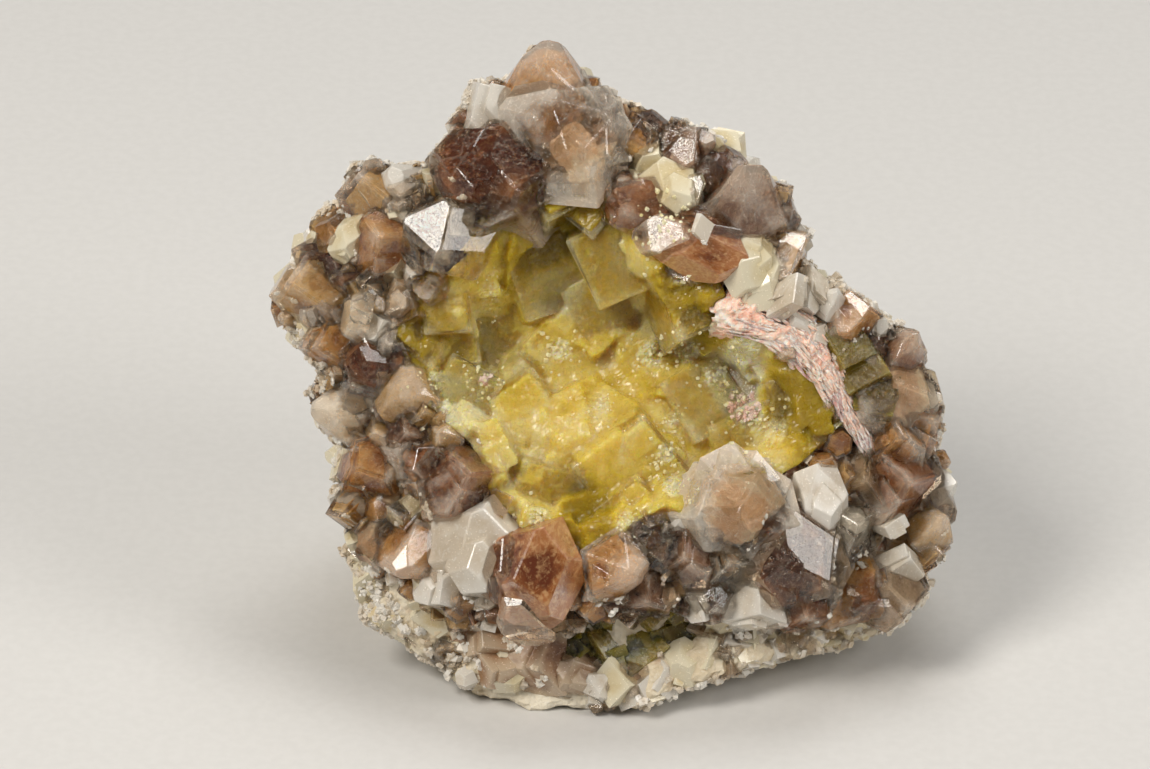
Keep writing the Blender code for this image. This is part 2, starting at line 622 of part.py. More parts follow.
def vein_solid(grow=0.0):
    """The pink vein: a low roof over its centre line."""
    bm = bmesh.new()
    rows = []
    for k, (u, v, half) in enumerate(VEIN):
        before, after = VEIN[max(0, k - 1)], VEIN[min(len(VEIN) - 1, k + 1)]
        along = Vector((after[0] - before[0], after[1] - before[1])).normalized()
        side = Vector((-along.y, along.x)) * (half + grow)
        foot = crust_top(u, v) - 3.0 - grow
        row = []
        for share, high in ((-1, 0.35), (-0.55, 0.85), (0.1, 1.0), (0.6, 0.8), (1, 0.3)):
            x, y = u + side.x * share, v + side.y * share
            row.append(bm.verts.new(place(x, y, crust_top(x, y) + VEIN_HEIGHT * high + grow)))
        row.append(bm.verts.new(place(u + side.x, v + side.y, foot)))
        row.append(bm.verts.new(place(u - side.x, v - side.y, foot)))
        rows.append(row)
    for first, second in zip(rows, rows[1:]):
        for s in range(len(first)):
            t = (s + 1) % len(first)
            bm.faces.new((first[s], first[t], second[t], second[s]))
    bm.faces.new(rows[0])
    bm.faces.new(rows[-1])
    bmesh.ops.triangulate(bm, faces=bm.faces[:])
    return as_object("vein", bm)


def finish(obj, name, colour, roughness):
    """Cuts the base flat, keeps one body, scales it to metres and gives it its name and material."""
    if min(vert.co.z for vert in obj.data.vertices) < 0:
        block = floor_block()
        cut(obj, block)
        bpy.data.objects.remove(block)
    keep_largest(obj)
    obj.data.transform(Matrix.Scale(MM, 4))
    obj.name = name
    obj.data.name = name
    material = bpy.data.materials.new(name)
    material.use_nodes = True
    shader = material.node_tree.nodes["Principled BSDF"]
    shader.inputs["Base Color"].default_value = (*colour, 1)
    shader.inputs["Roughness"].default_value = roughness
    obj.data.materials.clear()
    obj.data.materials.append(material)


def matrix_raw(grow=0.0):
    """The matrix with its lumps in front and its crystals behind, larger all round by grow."""
    obj = matrix_solid(grow)
    bm = bmesh.new()
    add_back_crystals(bm, grow)
    for lump in MATRIX_LUMPS:
        add_crystal(bm, lump, matrix_front, grow)
    join(obj, as_object("growths", bm))
    return obj


def make(obj, cutters, name, colour, roughness):
    cut(obj, *cutters)
    finish(obj, name, colour, roughness)


def main():
    for obj in list(bpy.data.objects):
        bpy.data.objects.remove(obj)
    # What stands in the way of each later piece, larger by the gap between them.
    matrix, brown, ledge, fluorite, vein = (
        matrix_raw(GAP), brown_raw(GAP), ledge_raw(GAP), fluorite_raw(GAP), vein_solid(GAP)
    )
    olive = (0.46, 0.42, 0.10)
    make(matrix_raw(), (), "calcite_matrix", (0.86, 0.82, 0.70), 0.6)
    make(brown_raw(), (matrix,), "brown_calcite", (0.36, 0.17, 0.09), 0.3)
    make(ledge_raw(), (matrix, brown), "ledge_calcite", (0.42, 0.25, 0.18), 0.35)
    make(fluorite_raw(), (matrix, brown), "pocket_fluorite", (0.80, 0.66, 0.14), 0.2)
    make(vein_solid(), (fluorite, brown), "pink_calcite", (0.85, 0.62, 0.58), 0.5)
    make(cubes_raw(LOWER_CUBES, matrix_front), (matrix, brown, ledge), "lower_fluorite", olive, 0.25)
    make(cubes_raw(SIDE_CUBES, crust_top), (brown, vein), "side_fluorite", olive, 0.25)
    for cutter in (matrix, brown, ledge, fluorite, vein):
        bpy.data.objects.remove(cutter)


main()
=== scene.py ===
"""Fluorite on calcite: the dressed specimen, its floor, its light and its camera."""
import random
from collections import namedtuple
from math import atan2, cos, exp, hypot, pi, radians, sin, sqrt

import bpy
from mathutils import Euler, Matrix, Vector, noise
from mathutils.bvhtree import BVHTree
from mathutils.kdtree import KDTree


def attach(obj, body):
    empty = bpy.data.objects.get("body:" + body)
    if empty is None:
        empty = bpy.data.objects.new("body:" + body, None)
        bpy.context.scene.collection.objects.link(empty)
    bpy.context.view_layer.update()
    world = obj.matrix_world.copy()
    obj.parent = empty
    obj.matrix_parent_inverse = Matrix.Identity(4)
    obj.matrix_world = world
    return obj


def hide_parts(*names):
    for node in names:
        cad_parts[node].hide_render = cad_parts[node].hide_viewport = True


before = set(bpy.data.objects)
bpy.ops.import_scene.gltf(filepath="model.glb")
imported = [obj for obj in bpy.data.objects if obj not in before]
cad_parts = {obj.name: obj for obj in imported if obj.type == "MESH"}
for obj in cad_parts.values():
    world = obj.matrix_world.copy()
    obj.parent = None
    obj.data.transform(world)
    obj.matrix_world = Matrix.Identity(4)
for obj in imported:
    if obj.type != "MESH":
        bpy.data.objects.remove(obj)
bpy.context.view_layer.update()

# Shapes are worked out in millimetres and laid in place in metres.
MM = 0.001

# The crystallised face leans back. Its own axes are u to the right, v up the face and w out of it.
LEAN = radians(30)
FACE_ORIGIN = Vector((-1.03, -32.27, 1.9))
ACROSS = Vector((1, 0, 0))
UP = Vector((0, sin(LEAN), cos(LEAN)))
OUT = Vector((0, -cos(LEAN), sin(LEAN)))
CENTRE = Vector((-0.7, 48.0))

# Corners of the specimen's outline on the face as (u, v), anticlockwise from the right edge.
OUTLINE = (
    (50, 33), (50, 39), (48, 45), (46, 52), (43.5, 56), (40, 56), (36, 61), (31.5, 63), (30, 67.5),
    (26.5, 72), (26.5, 77), (20, 79), (12, 85), (2.5, 87), (-0.5, 90), (-8, 96.5), (-15, 93), (-21, 88),
    (-24, 80), (-31, 79.5), (-37, 78), (-38.5, 73), (-44.5, 71), (-44.5, 64.5), (-49.5, 61), (-49, 57),
    (-43.5, 52.5), (-43, 48), (-44, 43), (-39, 40), (-39, 35), (-39.5, 28), (-35, 20), (-34.5, 14),
    (-28.5, 10), (-21, 5), (-17.5, 1.5), (-9, 0.5), (-0.5, 0.5), (6.5, 1.5), (12, 4), (20.5, 6.5),
    (33, 9.5), (42.5, 13), (48, 20), (50, 26.5),
)
# Corners of the fluorite pocket, anticlockwise from its right end.
POCKET = (
    (30.5, 44), (29.5, 48.5), (22, 53.5), (15, 59.5), (9, 63), (4, 67), (1.5, 75), (-6, 77), (-12, 74),
    (-16.5, 68.5), (-23, 62), (-28.5, 56), (-29, 50), (-24, 44.5), (-17.5, 39.5), (-15, 32), (-9, 27.5),
    (-2, 25), (5, 28), (12, 30.5), (19, 33), (26, 36.5), (30, 40),
)
# Where the brown crust ends below, from left to right.
CRUST_FOOT = (
    (-46, 27), (-36, 22), (-22, 15), (-8.5, 12), (0, 15), (13.5, 15.5), (27.5, 16), (44, 15), (56, 14),
)

# Where the brown crust and the ledge lie, and how the front falls away, in millimetres.
CRUST_BACK = 2.6
POCKET_DEPTH = 12.0
LEDGE_TOP = 16.0
LEDGE_RECESS = 4.0
CRUST_THICK = 3.2
SIDE_FALL = 17.0
TOP_FALL = 6.0

# A crystal's place on the face, size, form, look, lean of its long axis across and up the face, how far it
# stands out as a share of its size, turn about its axis in degrees, and stretch.
Crystal = namedtuple("Crystal", "u v size form look aim lift spin stretch", defaults=[(1, 1, 1)])
# A cube's place on the face, size, rise out of the floor, turn, the lean of its face, and look.
Cube = namedtuple("Cube", "u v size rise turn tip look", defaults=("yellow",))


def crystals(*rows):
    return [Crystal(*row) for row in rows]


def cubes(*rows):
    return [Cube(*row) for row in rows]


CROWN = crystals(
    (-8.4, 88.8, 15, "tooth", "amber", (0.02, 1.3), 0, 20),
    (-16.4, 87, 12, "blunt", "frost", (-0.4, 0.9), 0, 75),
    (-16.6, 79, 17, "flat", "rust", (-0.35, 0.35), 0.14, 12, (1.1, 0.9, 1)),
    (-5, 83.6, 14, "knob", "blush", (0, 0.2), 0.2, 0, (1, 1, 0.8)),
    (-1.6, 88, 10, "blunt", "plum", (0.5, 0.9), 0, 50),
    (5, 84, 10, "flat", "honey", (0.3, 0.8), 0, 15),
    (11.5, 81, 9, "blunt", "plum", (0.5, 0.8), 0, 40),
    (15.6, 78.2, 9, "flat", "rust", (0.6, 0.8), 0.05, 5),
    (4.2, 78.2, 10, "lens", "clear", (0, 0.3), 0, 0, (1.5, 0.7, 0.7)),
    (-13, 73.2, 13, "lens", "clear", (0.1, -0.2), 0.1, 24, (1.5, 0.5, 0.8)),
    (-22.5, 79, 7, "tooth", "clear", (-0.8, 0.6), 0, 30),
)
UPPER_RIGHT = crystals(
    (19.4, 71.2, 14, "tooth", "plum", (0.1, 0.75), 0.1, 15, (0.9, 0.7, 1)),
    (8.6, 74, 9, "flat", "cream", (-0.1, 0.1), 0.25, 40),
    (14.9, 74.2, 8, "lens", "clear", (0, 0.1), 0.35, 10, (0.9, 1.1, 0.8)),
    (5, 72, 10, "lens", "rust", (-0.1, 0), 0.1, 0, (1.1, 0.9, 0.8)),
    (13.2, 66.4, 15, "lens", "rust", (0, -0.1), 0.15, -15, (1.15, 0.75, 0.75)),
    # This frost blade is a white plate that stands for a facet mirroring the lamp: a painted reflection.
    (13.4, 68.8, 4.5, "blade", "frost", (-0.6, 3.4), 1.55, 0, (0.9, 1.6, 0.8)),
    (20.8, 64.4, 7, "knob", "cream", (0.2, 0.2), 0.35, 0, (0.9, 1.2, 0.9)),
    (23.6, 73, 9, "blade", "honey", (0.7, 0.7), 0, 60, (1, 2, 1)),
    (26, 66.2, 11, "blunt", "honey", (0.8, 0.5), -0.05, 30, (1, 0.7, 1)),
    # These two frost blades are white plates that stand for flat faces mirroring the lamp: painted
    # reflections.
    (25.6, 59.6, 7.5, "blade", "frost", (2, 3.2), 0.5, 8, (0.95, 2.2, 0.85)),
    (29.6, 60.8, 6.5, "blade", "frost", (-1.4, 3.4), 0.35, -20, (0.6, 2, 0.9)),
    (31.4, 58, 6, "tooth", "frost", (0.3, 0.6), 0.1, 50, (0.8, 0.7, 1)),
)
RIGHT_FLANK = crystals(
    (34.5, 56, 9, "blunt", "amber", (0.7, 0.4), 0, 10),
    (38.2, 52.8, 9, "flat", "plum", (0.7, 0.5), 0, 40),
    (42, 51, 9, "tooth", "rust", (0.7, 0.7), 0, 15, (1, 0.8, 0.9)),
    (41.6, 46, 13, "flat", "blush", (0.3, 0.25), 0.1, 30),
    (45, 41, 11, "blunt", "amber", (0.8, 0.1), 0, 55),
    (40, 38.6, 11, "blunt", "amber", (0.3, 0.2), 0, 5),
    (40.6, 33, 14, "blunt", "rust", (0.35, 0), 0, 38),
    (45.4, 32.4, 14, "flat", "grey", (0.9, 0), 0, 0, (0.8, 1.25, 1)),
    (45.4, 23.4, 9, "blunt", "honey", (0.9, -0.3), 0, 20),
    (39.8, 27.6, 6, "blade", "frost", (2.8, 0.8), 0.6, 10, (0.9, 2, 0.8)),
    (41.4, 21.2, 9, "blade", "frost", (0.3, 0.6), 0.1, -15, (1, 1.8, 1)),
    (45.4, 26.4, 7, "tooth", "honey", (0.6, 0.4), 0.2, 10),
    (41, 17.4, 10, "blunt", "grey", (0.6, -0.5), 0, 45),
    (36.4, 17.6, 9, "flat", "amber", (0.3, -0.4), 0, 10),
    (35, 22.6, 13, "lens", "clear", (0.2, -0.2), 0.05, 35, (1.1, 0.8, 0.6)),
    (36, 33.2, 9, "rhomb", "grey", (0.1, 0), 0.1, 12),
    (34.6, 27.4, 9, "blunt", "clear", (0.2, 0), 0.1, 60),
)
LOWER_RIGHT = crystals(
    (29.8, 31.2, 9, "lens", "frost", (0, 0.1), 0.15, 0, (0.9, 1.2, 0.8)),
    (25.4, 22.6, 15, "flat", "plum", (0, -0.15), 0.12, 22),
    (18.4, 29.6, 12, "knob", "blush", (-0.1, -0.1), 0.25, 0, (1, 1, 0.85)),
    (30.6, 22, 10, "lens", "grey", (0.1, -0.2), 0.1, 0, (0.8, 1.2, 0.8)),
    (14.2, 18.2, 7, "flat", "clear", (0, -0.2), 0.3, 10),
    (17.6, 22, 8, "blunt", "clear", (0, 0), 0.1, 33),
    (11.6, 22.8, 10, "blunt", "plum", (-0.1, 0), 0, 8),
    (6, 23.4, 10, "flat", "clear", (0, 0.1), 0, 48),
    (1.2, 21.6, 11, "tooth", "amber", (0.7, -0.1), 0.1, 20, (1, 0.8, 0.8)),
    (5.4, 18.4, 9, "blunt", "plum", (0.1, -0.5), 0, 0),
    (21, 16.6, 8, "rhomb", "frost", (0.1, -0.4), 0.1, 25),
    (27.4, 16.2, 9, "blunt", "rust", (0.2, -0.5), 0, 14),
    (33, 16, 8, "lens", "amber", (0.2, -0.5), 0, 20, (1.3, 0.8, 0.7)),
)
LOWER_LEFT = crystals(
    (-9.8, 20.6, 18, "lens", "rust", (0, -0.3), 0.12, 82, (1, 0.85, 0.75)),
    (-19, 23.8, 13, "flat", "frost", (-0.3, -0.2), 0.12, 15),
    (-27, 23.8, 10, "tooth", "amber", (-0.4, -0.5), 0.1, 25, (1, 0.9, 0.8)),
    (-27.6, 29, 8, "blade", "clear", (-0.5, 0.1), 0.2, 70, (1, 2.2, 1)),
    (-24.6, 36.2, 8, "knob", "amber", (-0.1, 0.1), 0.1, 0, (1, 1, 0.85)),
    (-19.8, 33, 12, "blunt", "rust", (0.2, 0.2), 0, 40),
    (-27.8, 40, 8, "blunt", "plum", (0, 0), 0.1, 15),
    (-27.6, 45.4, 10, "tooth", "honey", (0, 0.3), 0, 40, (1, 1, 0.8)),
    (-32.6, 35, 11, "blunt", "amber", (-0.5, 0), 0, 28),
    (-35.6, 29.8, 9, "blade", "honey", (-0.8, -0.3), 0.1, 95, (1, 2.4, 1)),
    (-32.4, 25.2, 9, "flat", "blush", (-0.6, -0.4), 0, 10),
    (-22.4, 18.6, 8, "blunt", "frost", (-0.2, -0.6), 0, 5),
)
LEFT_FLANK = crystals(
    (-38.2, 42.6, 10, "tooth", "blush", (-1, 0.1), 0, 15, (1, 0.9, 0.9)),
    (-34, 45.6, 9, "blunt", "clear", (-0.3, 0.2), 0, 33),
    (-31.8, 50.4, 11, "flat", "rust", (-0.2, 0), 0.05, 50),
    (-38, 52.6, 9, "blunt", "amber", (-0.7, -0.1), 0, 12),
    (-33, 56, 9, "lens", "blush", (-0.2, 0.2), 0, 0, (1.1, 0.9, 0.8)),
    (-31, 59.8, 9, "lens", "clear", (0.1, 0), 0.2, 30, (1.2, 0.9, 0.8)),
    (-41.4, 60.4, 12, "blunt", "honey", (-0.8, 0.2), 0, 25),
    (-45.6, 59, 10, "knob", "cream", (-0.9, -0.3), 0.05, 0, (1.1, 1, 0.9)),
    (-38.6, 64.2, 10, "flat", "rust", (-0.4, 0.4), 0.05, 5, (1.2, 0.8, 1)),
    (-30.2, 66.8, 12, "blunt", "amber", (-0.2, 0.1), 0.05, 50),
    (-35.6, 67.6, 7, "lens", "cream", (-0.2, 0.2), 0.25, 60, (1.1, 0.8, 0.8)),
    (-38.6, 69.4, 9, "flat", "honey", (-0.6, 0.6), 0, 20),
    (-33.2, 74, 10, "blunt", "honey", (-0.6, 0.7), 0, 38),
    (-28.4, 75, 7, "tooth", "frost", (-0.4, 0.8), 0, 10, (1, 1, 0.8)),
    (-21.8, 68, 12, "lens", "clear", (0.1, 0), 0.15, 10, (1.1, 1, 0.8)),
    (-26, 71, 8, "knob", "clear", (-0.2, 0.3), 0, 0, (1, 1, 0.9)),
)
LEDGE = crystals(
    (-9.4, 8.2, 9, "rhomb", "blush", (-0.1, -0.2), 0.05, 10, (1.1, 1, 0.8)),
    (-15.4, 11.4, 9, "blunt", "plum", (-0.3, -0.3), 0, 30),
    (-19.6, 12.6, 8, "flat", "grey", (-0.4, -0.2), 0, 10),
    (-15.2, 6.8, 8, "blunt", "rust", (-0.1, -0.2), 0, 52),
    (-4.4, 6.4, 7, "lens", "grey", (0.1, -0.1), 0, 0, (1.2, 0.8, 0.8)),
)

# Cubes marked olive darken the fluorite round them. This is partly its own colour and partly painted shade
# where the pocket lies in shadow.
POCKET_CUBES = cubes(
    (-9, 66, 13, 0, 14, (0.3, -0.35), "olive"),
    (-7, 74, 8, 0.5, 24, (0.1, 0.4), "olive"),
    (-2, 73, 8, 0.5, 58, (-0.15, 0.1), "olive"),
    (2.4, 66, 11, 0.2, 28, (-0.12, -0.25)),
    (-7.4, 61, 6, 2.6, 32, (0.1, -0.1), "pale"),
    (-22, 57.4, 6, 2.2, 8, (-0.12, 0.1)),
    (-20.8, 52.6, 6, 2, 10, (-0.1, 0.1)),
    (-26.4, 54, 7, 0.4, 40, (0.3, 0.2), "olive"),
    (-14.4, 56.4, 9, 0.4, 12, (0.22, -0.2)),
    (1.6, 58.6, 13, 0, 24, (0.1, -0.2)),
    (11.6, 58.6, 9, 0.4, 15, (0.2, 0.2), "olive"),
    (-6, 52.6, 10, 0, 44, (0.15, -0.15)),
    (7.6, 54, 9, 0.2, 64, (-0.15, -0.2)),
    (-13, 41, 12, 0.6, 22, (0.28, 0.05)),
    (3, 36, 13, 0.2, 33, (0.15, -0.3)),
    (13, 44, 10, 0.2, 18, (0.25, 0.2)),
    (17.6, 46.6, 10, 0.4, 38, (-0.12, 0.2), "pale"),
    (20, 39, 10, 0.4, 20, (0.16, -0.1)),
    (-9, 32, 9, 0.2, 70, (0.15, -0.2)),
    (-2.6, 29, 8, -0.2, 12, (0.1, -0.3), "olive"),
    (4, 30, 8, -0.2, 40, (0, -0.3)),
    (-20.6, 45.6, 8, 0.6, 52, (0.2, 0.1), "pale"),
    (26.8, 44.4, 7, 0.5, 6, (0.05, 0.05), "olive"),
)
LOWER_CUBES = cubes(
    (0.6, 10.6, 6, 0.4, 20, (0.3, 0.2)),
    (4.6, 9.6, 7, 0.4, 50, (-0.2, 0.3)),
    (9.2, 11, 6, 0.4, 10, (0.3, -0.2)),
    (13.4, 11.6, 6, 0.4, 65, (0.2, 0.3)),
)
SIDE_CUBES = cubes(
    (33.6, 52.2, 6, 2, 15, (0.3, 0.2)),
    (36.2, 48.8, 7, 2.2, 40, (-0.2, 0.3)),
    (37.6, 44.8, 6, 2.4, 70, (0.2, 0.3)),
)

# Centre line of the fibrous pink vein as (u, v, half width).
VEIN = (
    (14, 56, 2.4), (18.5, 57.2, 4.2), (23, 56.2, 4.6), (27.5, 53.4, 4), (31, 49.2, 3),
    (33.6, 45, 2.6), (35.6, 41.4, 2), (37, 38.6, 1.4),
)


# How many small things are tried. One that meets nothing, or would lie wrong, is left out.
SMALL_CRYSTALS = 900
FOOT_CRYSTALS = 520
BACK_CRYSTALS = 900
SMALL_CUBES = 110
PATCH_CUBES = 60
STRANDS = 400
EDGE_BEADS = 1500
SIDE_BEADS = 900
HOLLOW_BEADS = 2600
SUGAR_GRAINS = 560


def smoothstep(low, high, x):
    t = min(1.0, max(0.0, (x - low) / (high - low)))
    return t * t * (3 - 2 * t)


def crossing(corners, angle):
    """Distance from CENTRE at which a ray first meets a line through corners, or None where it misses."""
    ray = Vector((cos(angle), sin(angle)))
    for first, second in zip(corners, corners[1:]):
        a, b = Vector(first) - CENTRE, Vector(second) - CENTRE
        if ray.cross(a) <= 0 < ray.cross(b) and ray.dot(a + b) > 0:
            return a.cross(b) / ray.cross(b - a)
    return None


def reach(angle):
    return crossing(OUTLINE + OUTLINE[:1], angle)


def pocket_reach(angle):
    return crossing(POCKET + POCKET[:1], angle)


def crust_reach(angle):
    foot = crossing(CRUST_FOOT, angle)
    edge = reach(angle) - CRUST_BACK
    return edge if foot is None else min(edge, foot)


def carrier(u, v):
    """Height w of the specimen's broad, domed front, before the pocket is sunk in it."""
    return -SIDE_FALL * ((u - 1.0) / 50) ** 2 - TOP_FALL * (max(0.0, v - 52) / 42) ** 2


def pocket_share(u, v):
    """1 on the pocket's floor, falling to 0 at its rim."""
    offset = Vector((u, v)) - CENTRE
    if offset.length < 1e-6:
        return 1.0
    return 1 - smoothstep(0.5, 1.0, offset.length / pocket_reach(atan2(offset.y, offset.x)))


def rough(u, v, scale, seed):
    return noise.noise(Vector((u / scale, v / scale, seed)))


def matrix_front(u, v):
    ledge = LEDGE_RECESS * (1 - smoothstep(LEDGE_TOP - 4, LEDGE_TOP + 2, v))
    return carrier(u, v) - POCKET_DEPTH * pocket_share(u, v) - ledge + 0.9 * rough(u, v, 9, 3.0)


def crust_top(u, v):
    return matrix_front(u, v) + CRUST_THICK + 0.8 * rough(u, v, 5, 7.0)


def fluorite_top(u, v):
    """The cubes stand on two terraces, a sunken one above and a swelling one below."""
    swelling = 7.5 * exp(-((u - 1) / 20) ** 2 - ((v - 38) / 10.5) ** 2)
    return max(carrier(u, v) - 9.0 + swelling, matrix_front(u, v) + 2.4)


def place(u, v, w):
    """A point given on the face, in the specimen's own frame, in millimetres."""
    return FACE_ORIGIN + ACROSS * u + UP * v + OUT * w


def on_face(point):
    """The (u, v) of a point given in the specimen's own frame, in millimetres."""
    offset = point - FACE_ORIGIN
    return Vector((offset.dot(ACROSS), offset.dot(UP)))


def ray_point(angle, radius):
    return CENTRE.x + radius * cos(angle), CENTRE.y + radius * sin(angle)


# The square of the face that facets cover: its side, and its lower left corner.
FACET_SPAN = 112
FACET_CORNER = (-56, -6)


def facets(spacing, tilt, step, seed):
    """The height, as a function of (u, v), of a ground of flat facets tilted at random."""
    draw = random.Random(seed)
    across = int(FACET_SPAN / spacing)
    left, low = FACET_CORNER
    spots = [
        (left + (k % across + draw.random()) * spacing, low + (k // across + draw.random()) * spacing)
        for k in range(across * across)
    ]
    planes = [[draw.uniform(-most, most) for most in (tilt, tilt, step)] for _ in spots]
    tree = KDTree(len(spots))
    for k, (u, v) in enumerate(spots):
        tree.insert((u, v, 0), k)
    tree.balance()

    def height(u, v):
        point, k, _ = tree.find((u, v, 0))
        lean, fall, level = planes[k]
        return (u - point.x) * lean + (v - point.y) * fall + level

    return height


# Finishes


class Value:
    """A socket that Python sums can use. Each operation adds one Math node."""

    def __init__(self, finish, socket):
        self.finish, self.socket = finish, socket

    def sum(self, operation, first, second):
        return self.finish.add("Math", {0: first, 1: second}, operation=operation)

    def __add__(self, other):
        return self.sum("ADD", self, other)

    def __sub__(self, other):
        return self.sum("SUBTRACT", self, other)

    def __rsub__(self, other):
        return self.sum("SUBTRACT", other, self)

    def __mul__(self, other):
        return self.sum("MULTIPLY", self, other)

    __radd__ = __add__
    __rmul__ = __mul__


class Finish:
    """A material and the nodes that it is made of."""

    def __init__(self, name):
        self.material = bpy.data.materials.new(name)
        self.material.use_nodes = True
        self.tree = self.material.node_tree
        self.tree.nodes.clear()
        self.end = self.tree.nodes.new("ShaderNodeOutputMaterial")

    def add(self, kind, sockets=None, output=0, **settings):
        """Adds a node of that kind. A ramp's stops are given as a setting."""
        node = self.tree.nodes.new("ShaderNode" + kind)
        for name, value in settings.items():
            if name == "stops":
                while len(node.color_ramp.elements) < len(value):
                    node.color_ramp.elements.new(1.0)
                for element, (position, colour) in zip(node.color_ramp.elements, value):
                    element.position, element.color = position, (*colour, 1)
            else:
                setattr(node, name, value)
        for name, value in (sockets or {}).items():
            if isinstance(value, Value):
                self.tree.links.new(value.socket, node.inputs[name])
            else:
                node.inputs[name].default_value = value
        return Value(self, node.outputs[output])

    def own(self):
        """Where a point lies on its crystal, in halves of the crystal's size."""
        return self.add("Attribute", output="Vector", attribute_name="own")

    def shade(self):
        """A number from 0 to 1 that differs from crystal to crystal."""
        return self.add("Attribute", output="Fac", attribute_name="shade")

    def drift(self, own, shade, spread=41.0):
        """Where a pattern is read, so that no two crystals show the same part of it."""
        return self.vector("ADD", own, shade * spread)

    def spot(self):
        return self.add("TexCoord", output="Object")

    def vector(self, operation, first, second):
        return self.add("VectorMath", {0: first, 1: second}, operation=operation)

    def length(self, vector):
        return self.add("VectorMath", {0: vector}, "Value", operation="LENGTH")

    def noise(self, vector, scale, detail=2.0, roughness=0.5, distortion=0.0):
        names = ("Vector", "Scale", "Detail", "Roughness", "Distortion")
        return self.add("TexNoise", dict(zip(names, (vector, scale, detail, roughness, distortion))))

    def silk(self, drift, across, along, *rest):
        """Noise drawn out into fibres along the crystal."""
        return self.noise(self.vector("MULTIPLY", drift, (across, across, along)), 1.0, *rest)

    def cells(self, vector, scale, **settings):
        return self.add("TexVoronoi", {"Vector": vector, "Scale": scale}, "Distance", **settings)

    def smooth(self, value, low, high, least=0.0, most=1.0):
        sockets = {"Value": value, "From Min": low, "From Max": high, "To Min": least, "To Max": most}
        return self.add("MapRange", sockets, interpolation_type="SMOOTHSTEP")

    def clamped(self, value):
        return self.add("Clamp", {"Value": value})

    def blend(self, share, first, second):
        first, second = ((*c, 1) if isinstance(c, tuple) else c for c in (first, second))
        return self.add("Mix", {0: share, 6: first, 7: second}, 2, data_type="RGBA")

    def ramp(self, value, *stops):
        return self.add("ValToRGB", {"Fac": value}, stops=stops)

    def bump(self, height, strength, distance):
        return self.add("Bump", {"Height": height, "Strength": strength, "Distance": distance * MM})

    def surface(self, colour, roughness, normal, **constants):
        """A Principled shader. The constants are named as its sockets, with _ for a space."""
        values = {"Base Color": colour, "Roughness": roughness, "Normal": normal}
        values.update({name.replace("_", " "): value for name, value in constants.items()})
        return self.add("BsdfPrincipled", values)

    def mix_surfaces(self, share, first, second):
        return self.add("MixShader", {0: share, 1: first, 2: second})

    def done(self, surface, absorb=None):
        """Ends the material. absorb is its (colour, density) where light dims on its way through."""
        self.tree.links.new(surface.socket, self.end.inputs["Surface"])
        if absorb:
            volume = self.add("VolumeAbsorption", {"Color": (*absorb[0], 1), "Density": absorb[1]})
            self.tree.links.new(volume.socket, self.end.inputs["Volume"])
        return self.material


def zoned_calcite(name, dark, mid, rim, through, fibre=0.35):
    """Cloudy calcite crystals with a dark heart, paler rims, silky fibres and white dust."""
    f = Finish(name)
    own, shade, spot = f.own(), f.shade(), f.spot()
    drift = f.drift(own, shade)
    heart = f.noise(drift, 1.1, 4.0, 0.6, 0.4)
    silk = f.silk(drift, 11.0, 1.3, 3.0, 0.6, 0.8)
    fine = f.noise(spot, 1700.0, 3.0, 0.65)
    body = f.blend(f.smooth(heart + shade * 0.35, 0.42, 0.85), dark, mid)
    body = f.blend(f.smooth(silk, 0.50, 0.78) * fibre, body, rim)
    band = f.smooth(f.length(own) + (heart - 0.5) * 0.5, 0.80, 1.15) * 0.8
    body = f.blend(band, body, rim)
    specks = f.smooth(f.noise(spot, 2900.0, 2.0), 0.64, 0.72)
    body = f.blend(specks * 0.25, body, (0.90, 0.86, 0.78))
    roughness = f.smooth(fine, 0.35, 0.75, 0.06, 0.28) + specks * 0.3
    return f.done(f.surface(
        body, roughness, f.bump(silk * 0.35 + fine * 0.5, 0.35, 0.25), Transmission_Weight=through, IOR=1.6,
        Coat_Weight=0.25, Coat_Roughness=0.04,
    ))


def phantom(name, dark, mid, pale, through):
    """The cloudy heart inside a clear crystal: dark in the middle, with silky fibres fanning out."""
    f = Finish(name)
    own, shade = f.own(), f.shade()
    drift = f.drift(own, shade)
    cloud = f.noise(drift, 1.2, 4.0, 0.62, 0.5)
    wisp = f.noise(drift, 4.5, 3.0, 0.65, 0.8)
    silk = f.silk(drift, 10.0, 1.1, 3.0, 0.6, 0.6)
    outer = f.smooth(f.length(own) + (cloud - 0.5) * 0.9, 0.62, 1.12)
    colour = f.blend(f.smooth(cloud * 0.5 + outer * 0.45 + shade * 0.2, 0.30, 0.80), dark, mid)
    colour = f.blend(f.smooth(silk + outer * 0.12, 0.52, 0.82) * 0.6, colour, pale)
    colour = f.blend(f.smooth(wisp, 0.55, 0.75) * 0.35, colour, pale)
    roughness = f.smooth(cloud, 0.3, 0.7, 0.2, 0.5)
    return f.done(f.surface(colour, roughness, f.bump(wisp, 0.3, 0.4), IOR=1.5, Transmission_Weight=through))


